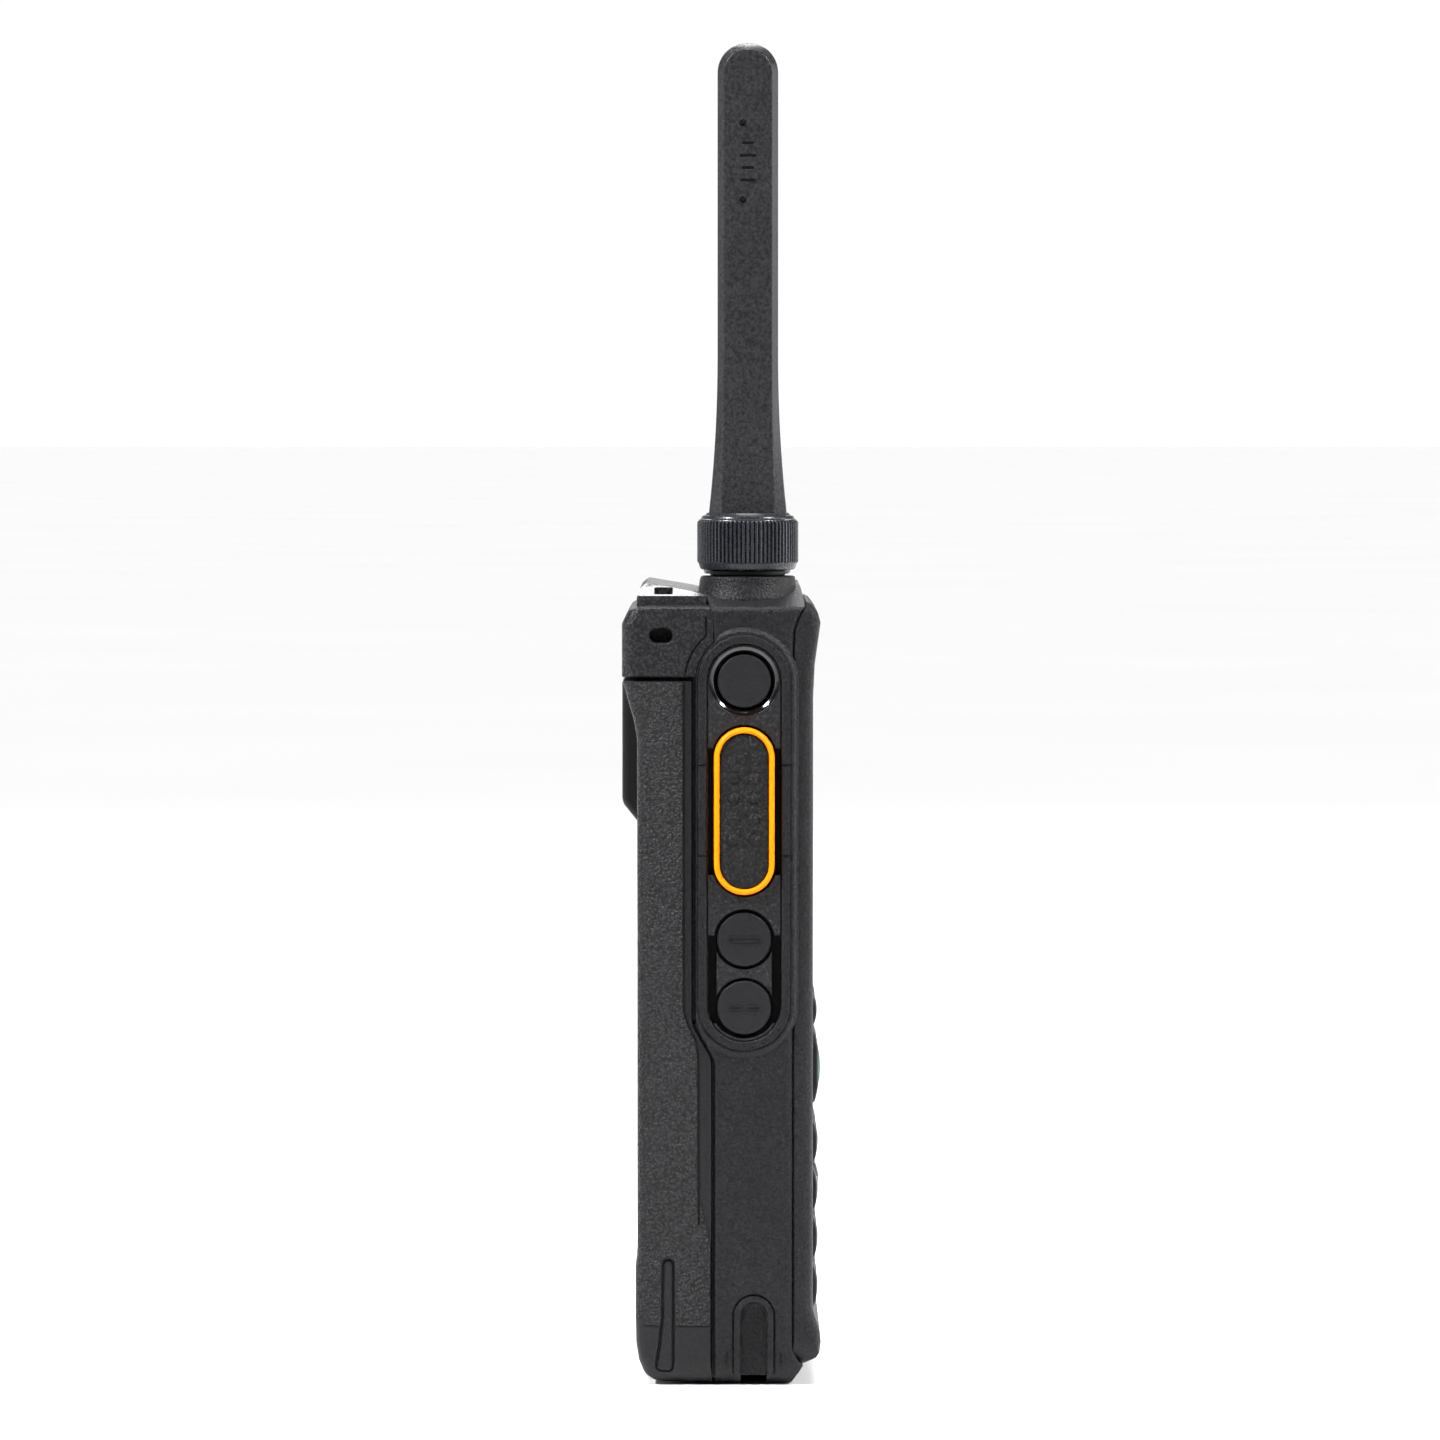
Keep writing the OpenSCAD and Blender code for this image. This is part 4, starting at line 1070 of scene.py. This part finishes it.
def build_antenna():
    body = "antenna"
    x0, y0 = ANTENNA.x, ANTENNA.y
    heights = [140.2, 141.2, 143, 145.5, 148, 151, 154, 157, 160, 163, 166, 175, 190, 205,
               TIP_Z - 4.9]
    heights += [TIP_Z - 4.9 + 4.9 * math.sin(math.radians(a)) for a in range(8, 89, 8)]
    heights.append(TIP_Z - 0.03)
    layers = []
    for z in heights:
        wide, face, thick, edge = whip_section(z)
        crown = thick - 0.16
        corners = [(crown, -face), (thick, -face * 0.45), (thick, face * 0.45), (crown, face), (edge, wide),
                   (-edge, wide), (-crown, face), (-thick, face * 0.45), (-thick, -face * 0.45),
                   (-crown, -face), (-edge, -wide), (edge, -wide)]
        outline = rounded([(u, v, 0.55) for u, v in corners], 3)
        layers.append(([(x0 + u, y0 + v) for u, v in outline], z))
    whip = stack("whip", layers, "z")
    surface = x0 - 4.1
    tools = []
    for z in (203.6, 191.2):
        dot = lathe("dot", [(0.01, surface - 1), (0.6, surface - 1), (0.6, surface + 0.1),
                            (0.42, surface + 0.55), (0.01, surface + 0.6)], y0 + 0.8, z, "x", 24)
        tools.append(dot)
    for i in range(4):
        z = 194.4 + 2.0 * i
        half = (1.3, 1.0, 1.3, 1.0)[i]
        outline = box_outline(y0 - half, z - 0.28, y0 + half, z + 0.28, 0.26, 4)
        tools.append(stack("bar", [(outline, surface - 1), (outline, surface + 0.12),
                                   (inset(outline, 0.14), surface + 0.35)], "x"))
    combine(whip, tools)
    finish_piece(whip, body, antenna_rubber, ["antenna_whip"], smooth=math.radians(40))

    ridges = 72

    def wave(a):
        return -0.045 * (0.5 - 0.5 * math.cos(ridges * a)) ** 2.5

    profile = [(3.05, 131.5), (7.3, 131.5), (7.62, 131.62), (7.78, 131.9), (7.92, 132.4),
               (8.0, 132.6), (8.16, 132.75, 1), (8.2, 133.0, 1), (8.2, 139.05, 1), (8.12, 139.3, 1),
               (7.95, 139.45), (7.9, 139.6), (7.55, 139.75), (7.5, 140.0), (7.35, 140.2),
               (6.9, 140.35), (6.6, 140.7), (5.9, 140.72), (3.05, 140.6)]
    collar = lathe("grip_collar", profile, x0, y0, "z", ridges * 8, wave=wave, closed=True)
    finish_piece(collar, body, collar_plastic, ["antenna_collar"],
                 smooth=FINE_SMOOTH)

    seal_profile = [(3.3, 130.6), (5.9, 130.55), (6.12, 130.7), (6.2, 131.0), (6.12, 131.3),
                    (5.9, 131.45), (3.3, 131.4)]
    seal = lathe("seal_ring_piece", seal_profile, x0, y0, "z", 64, closed=True)
    finish_piece(seal, "seal_ring", seal_rubber, ["antenna_seal"])

    turns = 6
    thread = thread_rod(x0, y0, 124.6, 131.6, 3.0, turns)
    finish_piece(thread, body, brass, ["antenna_stud"], smooth=math.radians(25))


def thread_rod(x0, y0, z0, z1, r, turns):
    """A threaded stud: its crest follows a helix of one millimetre pitch."""
    steps = 48
    rows = int((z1 - z0) / 0.125)
    rings = []
    for k in range(rows + 1):
        z = z0 + (z1 - z0) * k / rows
        fade = min(1, (z - z0) / 0.6, max(0, (z1 - z) / 0.3) + 0.2)
        ring = []
        for i in range(steps):
            a = 2 * math.pi * i / steps
            phase = (z - a / (2 * math.pi)) % 1.0
            depth = 0.42 * abs(2 * phase - 1) * fade + 0.35 * (1 - min(1, (z - z0) / 0.6))
            rr = r - depth
            ring.append((x0 + rr * math.cos(a), y0 + rr * math.sin(a), z))
        rings.append(ring)
    return skin("threaded_stud", rings)


# ---------- knob and button ----------

def build_top_controls():
    flutes = 28

    def wave(a):
        return -0.05 * max(0, math.cos(flutes * a)) ** 2

    low = node_box("volume_knob")[0].z
    profile = [(3.05, low), (6.9, low), (7.15, low + 0.15), (7.2, low + 0.5), (7.3, low + 1.2, 0.3),
               (7.3, low + 2.0, 1), (7.25, low + 6.6, 1), (7.1, low + 7.4, 0.6), (6.9, low + 8.1),
               (6.6, low + 8.6), (6.1, low + 9.0), (5.2, low + 9.1), (4.9, low + 8.9), (4.7, low + 8.6),
               (0.02, low + 8.55), (0.02, low + 6), (3.05, low + 6)]
    knob = lathe("volume_grip", profile, KNOB.x, KNOB.y, "z", flutes * 10, wave=wave, closed=True)
    finish_piece(knob, "knob", collar_plastic, ["volume_knob"], smooth=FINE_SMOOTH)
    pointer = prism("volume_pointer", box_outline(KNOB.x - 0.45, KNOB.y - 6.6, KNOB.x + 0.45, KNOB.y - 5.1,
                                                  0.3, 3), low + 8.0, low + 9.12, "z")
    finish_piece(pointer, "knob", mark_white)

    top = node_box("emergency_button")[1].z
    profile = [(0.02, top - 0.25), (2.0, top - 0.22), (3.2, top - 0.08), (3.7, top), (4.1, top - 0.1),
               (4.3, top - 0.35), (4.35, top - 0.8), (4.35, 121.2), (5.2, 121.2), (5.2, 120.3),
               (0.02, 120.3)]
    button = lathe("emergency_cap", profile, BUTTON.x, BUTTON.y, "z", 64)
    finish_piece(button, "emergency", orange_plastic, ["emergency_button"])


# ---------- rear cap ----------

def build_rear_cap():
    arc_r = 4.7 - KEY_Y - 0.25
    lower = rounded(
        [(y, z, 0) for y, z in arc(KEY_Y, TOP_KEY_Z, arc_r, 3, 52, 12)]
        + [(1.5, 123.8, 0.8), (2.0, 125.9, 0.6), (5.0, 126.4, 0.8), (14.0, 126.0, 0.6), (15.4, 125.2, 0.6),
           (16.0, 124.2, 0.6), (16.6, 123.0, 1.2), (16.6, 114.35, 0.2)])

    def weight(normal):
        back = min(1, max(0, normal.x * 1.5 - 0.3))
        return 0.35 + 1.9 * back

    cap = prism("rear_block", lower, -CAP_HALF_W, CAP_HALF_W, "x", soft=(2.2, weight), steps=8)
    combine(cap, [prism("shoulder_trim", SHOULDERS, -30, 30, "y")], "INTERSECT")
    wedge_side = rounded([(3.0, 124, 0), (3.0, 127.6, 0.3), (5.4, 128.2, 0.8), (12.6, 129.5, 0.5),
                          (13.7, 128.6, 0.5), (14.2, 127.2, 0.5), (14.3, 124, 0)])
    wedge = prism("wedge", wedge_side, -26.1, 26.1, "x", soft=0.5, steps=4)
    ridge = rounded([(-26.3, 120, 0), (26.3, 120, 0), (26.3, 127.4, 0.4), (20, 129.5, 3),
                     (-20, 129.5, 3), (-26.3, 127.4, 0.4)])
    combine(wedge, [prism("wedge_trim", ridge, -30, 30, "y")], "INTERSECT")
    combine(cap, [wedge], "UNION")
    tongue = prism("tongue", box_outline(-24.6, 114.35, 24.6, 121.15, 0.3, 2), 2.7, 8.0, "y")
    combine(cap, [tongue], "UNION")
    side_hole = box_outline(10.3 - 1.85, 121.1 - 1.2, 10.3 + 1.85, 121.1 + 1.2, 1.19, 6)
    tools = [
        stack("strap_side", [(inset(side_hole, -0.25), -29), (inset(side_hole, -0.25), -CAP_HALF_W),
                             (side_hole, -CAP_HALF_W + 0.3), (side_hole, -22.2)], "x"),
        prism("strap_top", box_outline(-25.4, 8.4, -22.2, 11.4, 0.3, 2), 120, 132, "z"),
        prism("cap_hollow", [(8.0, 113), (14.5, 113), (14.5, 122.5), (8.0, 122.5)], -19, 24, "x"),
    ]
    line_r = 9.55
    groove_path = arc(KEY_Y, TOP_KEY_Z, line_r, 0, 50, 12) + [(3.05, 124.2)]
    for side in (-1, 1):
        tools.append(groove_tool("cap_line", groove_path, 0.36, side * CAP_HALF_W, side, 0.45))
    combine(cap, tools)
    finish_piece(cap, "radio", [cap_plastic, upper_plastic], ["rear_cap"])
    paint_second(cap, lambda face: face.normal.z > 0.8 and face.center.z > 127 * MM)


def groove_tool(name, path, width, surface, side, depth):
    """A tool that cuts a thin line along a (y, z) path into a side of the radio."""
    left = []
    right = []
    for i, point in enumerate(path):
        before = Vector(path[max(0, i - 1)])
        after = Vector(path[min(len(path) - 1, i + 1)])
        along = (after - before).normalized()
        across = Vector((along.y, -along.x)) * width / 2
        left.append(tuple(Vector(point) - across))
        right.append(tuple(Vector(point) + across))
    outline = anticlockwise(left + right[::-1])
    w0, w1 = sorted((surface - side * depth, surface + side))
    return stack(name, [(outline, w0), (outline, w1)], "x")


# ---------- battery ----------

BATTERY_FRONT_LOW = 2.1
BATTERY_FRONT_HIGH = 5.25


def build_battery():
    side_outline = rounded([
        (BATTERY_FRONT_LOW, 0.1, 0.2), (11.0, 0.6, 2.5), (12.9, 1.8, 2), (13.9, 4.1, 2), (14.35, 6.9, 3),
        (14.45, 11, 0), (14.45, 19.4, 0.6), (14.15, 20.9, 0.6), (14.15, 104.5, 8), (14.7, 107.5, 6),
        (15.6, 110.6, 4), (16.4, 113.5, 0.3), (16.35, 113.9, 0.15), (BATTERY_FRONT_HIGH, 113.9, 0.3),
        (BATTERY_FRONT_HIGH, 58.4, 3.5), (BATTERY_FRONT_LOW, 52.9, 3.5)])

    def weight(normal):
        back = min(1, max(0, normal.x * 1.5 - 0.2))
        foot = min(1, max(0, -normal.y * 1.5 - 0.4))
        return 0.3 + 1.5 * max(back, foot * 0.8)

    case = prism("battery_shell", side_outline, -CASE_HALF_W, CASE_HALF_W, "x", soft=(1.8, weight), steps=7)
    corners = prism("case_trim", box_outline(-CASE_HALF_W, 0, CASE_HALF_W, 130, 4.2, 8), -20, 20, "y")
    combine(case, [corners], "INTERSECT")
    inner = 25.4
    tools = [
        prism("case_cavity", [(0, 1.9), (11.2, 1.9), (12.4, 3.4), (12.4, 112.3),
                              (4.25, 112.3), (4.25, 58.4), (1.1, 52.9), (0, 52.9)], -inner, inner, "x"),
        prism("clip_seat", [(14.15, 90), (20, 90), (20, 120), (14.15, 120)], -14, 14, "x"),
        prism("latch_low", box_outline(-6.2, 0, 6.2, 10.7, 0.5), -1, 2, "z"),
        prism("latch_high", box_outline(-8.2, 0, 8.2, 10.7, 0.5), 0.95, 3, "z"),
    ]
    tools += [drill("insert_hole", [(2.1, 10), (2.1, 20)], x, 103, "y", 32) for x in (-8, 8)]
    tools += [drill("charge_hole", [(1.8, 13.7), (1.8, 13.9), (2.2, 14.3), (2.2, 20)], x, 33, "y", 32)
              for x in (-8, 0, 8)]
    bend = [(6.65, 62), (6.5, 60.2), (5.9, 58.3), (4.9, 56.4), (4.45, 54.8)]
    crease = [(6.65, 114.5)] + bend + [(4.3, 53), (4.25, 30), (4.2, 26)]
    strip = [(0, 22), (2.6, 23.5), (4.1, 30), (4.25, 53)] + bend[::-1] + [(6.65, 120), (0, 120)]
    foot_line = [(16, 10.0), (13.2, 9.85), (11, 9.7), (0, 9.55)]
    for side in (-1, 1):
        surface = side * CASE_HALF_W
        w0, w1 = sorted((surface - side * 0.26, surface + side))
        tools += [groove_tool("case_line", crease, 0.42, surface, side, 0.5),
                  prism("strip_cut", strip, w0, w1, "x"),
                  groove_tool("foot_line", foot_line, 0.22, surface, side, 0.2),
                  guide_groove(surface, side)]
    combine(case, tools)
    join(case, groove_ridges())
    finish_piece(case, "battery", [battery_plastic, smooth_grain], ["battery_case"])
    paint_second(case, lambda face: (face.center.z < 9.75 * MM or face.center.y < 6.6 * MM
                                     or in_side_groove(face)))

    plate_side = rounded([(14.15, 90.4, 0), (16.7, 93.6, 2.5), (16.7, 113.2, 0.8), (16.2, 113.8, 0.3),
                          (14.15, 113.8, 0)])

    def plate_weight(normal):
        return 0.1 + 0.9 * min(1, max(0, normal.x * 1.5 - 0.2))

    plate = prism("clip_rest", plate_side, -13.95, 13.95, "x", soft=(1.0, plate_weight), steps=5)
    combine(plate, [drill("insert_hole", [(2.1, 10), (2.1, 16.5), (2.4, 16.8), (2.4, 20)], x, 103,
                          "y", 32) for x in (-8, 8)])
    finish_piece(plate, "battery", smooth_plastic, ["clip_plate"])

    latch_parts = prism("latch_slider", box_outline(-8, 2.5, 8, 8.4, 0.3, 2), 1.05, 1.75, "z")
    thumb = prism("thumb", box_outline(-6, 2.5, 6, 8.4, 0.3, 2), 0.5, 1.1, "z", soft=0.15, steps=2,
                  end="low")
    tongue = prism("latch_tongue", box_outline(-6, 0.2, 6, 2.6, 0.2, 2), 0.75, 1.5, "z", soft=0.15, steps=2)
    ribs = [prism("rib", box_outline(-5, 3.4 + 0.9 * i, 5, 3.75 + 0.9 * i, 0.15, 2), 0.34, 0.6, "z")
            for i in range(5)]
    join(latch_parts, [thumb, tongue] + ribs)
    finish_piece(latch_parts, "latch", smooth_plastic, ["battery_latch"])


def in_side_groove(face):
    """Whether a face of the pack lies inside one of its side grooves."""
    x, y, z = face.center / MM
    depth = CASE_HALF_W - abs(x)
    wall = abs(face.normal.x) < 0.9
    return 0.03 < depth < 1.3 and 5 < y < 12 and (wall or z < 22)


def groove_outline():
    """Outline of the blade-shaped groove low on each side of the pack."""
    u = 9.15
    top = arc(u, 19.6, 1.05, 0, 180, 10)
    return anticlockwise([(u + 1.15, 11.0)] + top + [(u - 1.05, 3.4), (u - 0.8, 2.5), (u - 0.2, 2.1),
                                                     (u + 1.5, 2.2), (u + 2.2, 2.9), (u + 1.65, 6.5)])


def guide_groove(surface, side):
    """The tool that cuts that groove."""
    outline = groove_outline()
    places = [(-0.14, surface + side), (-0.14, surface), (0, surface - side * 0.14),
              (0.1, surface - side * 1.0)]
    return stack("guide_groove", [(inset(outline, drop), w) for drop, w in places], "x")


def groove_ridges():
    """The ridge that stands in the middle of each groove."""
    ridges = []
    for side in (-1, 1):
        surface = side * CASE_HALF_W
        outline = groove_outline()
        places = [(0.42, surface - side * 1.2), (0.42, surface - side * 0.35), (0.5, surface - side * 0.2),
                  (0.68, surface - side * 0.12)]
        ridges.append(stack("ridge", [(inset(outline, drop), w) for drop, w in places], "x"))
    return ridges


# ---------- accessory cover ----------

def build_accessory_cover():
    cover = prism("socket_cover", box_outline(-9.0, 84.2, 2.6, 111.8, 2.3), 26.0, 27.9, "x", soft=0.35,
                  steps=3, end="high")
    tools = [drill("screw_pass", [(1.55, 20), (1.55, 27.5), (3.5, 27.6), (3.5, 30)], SCREW_Y, SCREW_Z,
                   "x", 40)]
    for i in range(5):
        z = 88 + 2.6 * i
        tools.append(prism("rib_cut", box_outline(-7.6, z, 1.2, z + 0.9, 0.4, 3), 27.55, 30, "x"))
    combine(cover, tools)
    finish_piece(cover, "cover", smooth_plastic, ["accessory_cover"])

    ridges = 24

    def wave(a):
        return -0.05 * (0.5 - 0.5 * math.cos(ridges * a))

    head = lathe("screw_head", [(0.02, 23.6), (1.2, 23.6), (1.5, 23.9), (1.5, 27.95), (3.0, 27.98),
                                (3.2, 28.15, 1), (3.2, 29.3, 1), (3.0, 29.55), (2.7, 29.6), (0.02, 29.6)],
                 SCREW_Y, SCREW_Z, "x", ridges * 8, wave=wave)
    slot = prism("slot_cut", [(-3.65, 100), (-2.75, 100), (-2.75, 115), (-3.65, 115)], 28.9, 31, "x")
    combine(head, [slot])
    finish_piece(head, "screw", steel, ["cover_screw"])


# ---------- CAD nodes that stay ----------

KEPT = {
    "rear_chassis": cast_metal, "side_switches": inner_plastic, "antenna_socket": brass,
    "rotary_encoder": inner_plastic, "led_window": lamp_plastic, "speaker": speaker_cloth,
    "microphone": inner_plastic, "lcd_module": inner_plastic, "keypad_sheet": seal_rubber,
    "main_board": board_green, "shield_cans": steel, "contact_block": inner_plastic,
    "accessory_connector": inner_plastic, "chassis_screws": steel, "battery_lid": inner_plastic,
    "cell_pack": cell_wrap, "battery_contacts": gold, "clip_inserts": brass, "antenna_coil": copper,
    "knob_shaft": steel, "nav_post": inner_plastic,
}


def paint_kept_nodes():
    for name, material in KEPT.items():
        obj = nodes[name]
        obj.data.materials.clear()
        obj.data.materials.append(material)


# ---------- floor, light and camera ----------

FLOOR_HALF = 30.0
TARGET = Vector((-0.0275, 0.0008, 0.10755))


def build_floor():
    h = FLOOR_HALF
    mesh = bpy.data.meshes.new("floor")
    mesh.from_pydata([(-h, -h, 0), (h, -h, 0), (h, h, 0), (-h, h, 0)], [], [(0, 1, 2, 3)])
    floor = add_object("floor", mesh)
    material, tree, shader, coords = new_material("floor_white", (0.9, 0.9, 0.9), 0.8, specular=0.1)
    soft = noise(tree, coords, 3.0)
    paint_between(tree, shader, soft, "Fac", (0.89, 0.89, 0.89), (0.91, 0.91, 0.91))
    mesh.materials.append(material)


def build_world():
    """A studio that is white round the horizon, dim overhead and grey towards -X."""
    world = bpy.data.worlds.new("studio")
    bpy.context.scene.world = world
    world.use_nodes = True
    tree = world.node_tree
    back = tree.nodes["Background"]
    coords = tree.nodes.new("ShaderNodeTexCoord")
    split = tree.nodes.new("ShaderNodeSeparateXYZ")
    link(tree, coords, "Generated", split, "Vector")
    ramp = tree.nodes.new("ShaderNodeValToRGB")
    ramp.color_ramp.elements[0].position = 0.14
    ramp.color_ramp.elements[0].color = (1.0, 1.0, 1.0, 1)
    ramp.color_ramp.elements[1].position = 0.24
    ramp.color_ramp.elements[1].color = (0.12, 0.12, 0.125, 1)
    link(tree, split, "Z", ramp, "Fac")
    side = spread(tree, split, "X", 0.12, 1.0, -0.7, -0.1)
    shade = tree.nodes.new("ShaderNodeVectorMath")
    shade.operation = "SCALE"
    link(tree, ramp, "Color", shade, 0)
    link(tree, side, "Result", shade, "Scale")
    link(tree, shade, "Vector", back, "Color")
    back.inputs["Strength"].default_value = 1.02


def softbox(name, place, size, power, aim=(0, 0, 0.11), spread_angle=180):
    light = bpy.data.lights.new(name, "AREA")
    light.shape = "RECTANGLE"
    light.size, light.size_y = size
    light.energy = power
    light.spread = math.radians(spread_angle)
    obj = add_object(name, light)
    obj.location = place
    obj.rotation_euler = (Vector(aim) - Vector(place)).to_track_quat("-Z", "Y").to_euler()


def build_lights():
    sun = bpy.data.lights.new("overhead", "SUN")
    sun.energy = 3.1
    sun.angle = math.radians(35)
    add_object("overhead", sun).location = (0, 0, 2)
    softbox("rear_box", (-0.3, 1.1, 0.5), (0.2, 1.1), 2.5)
    softbox("front_box", (-0.3, -1.1, 0.5), (0.2, 1.1), 2.5)
    softbox("key_left", (-0.5, 0.85, 0.95), (0.16, 0.16), 0.75, aim=(0, 0, 0.13), spread_angle=30)
    softbox("key_right", (-0.5, -0.85, 0.95), (0.16, 0.16), 0.5, aim=(0, 0, 0.13), spread_angle=30)
    softbox("front_rim", (0.15, -1.0, 0.2), (0.3, 0.7), 5)
    softbox("top_back_box", (1.0, 0.1, 0.95), (1.1, 0.5), 14)


def build_camera():
    camera = bpy.data.cameras.new("camera")
    camera.sensor_width = 36
    distance = 1.25
    frame_height = 0.2315
    camera.lens = 36 * distance / frame_height
    camera.clip_end = 100
    eye = add_object("camera", camera)
    tilt = math.radians(2.3)
    eye.location = TARGET + Vector((-distance * math.cos(tilt), 0, distance * math.sin(tilt)))
    eye.rotation_euler = (TARGET - eye.location).to_track_quat("-Z", "Y").to_euler()
    bpy.context.scene.camera = eye
    bpy.context.scene.view_settings.view_transform = "Standard"


def build_stage():
    build_floor()
    build_world()
    build_lights()
    build_camera()


build_stage()
build_housing()
build_key_panel()
build_side_keys()
build_cover()
build_front_keys()
build_antenna()
build_top_controls()
build_rear_cap()
build_battery()
build_accessory_cover()
paint_kept_nodes()
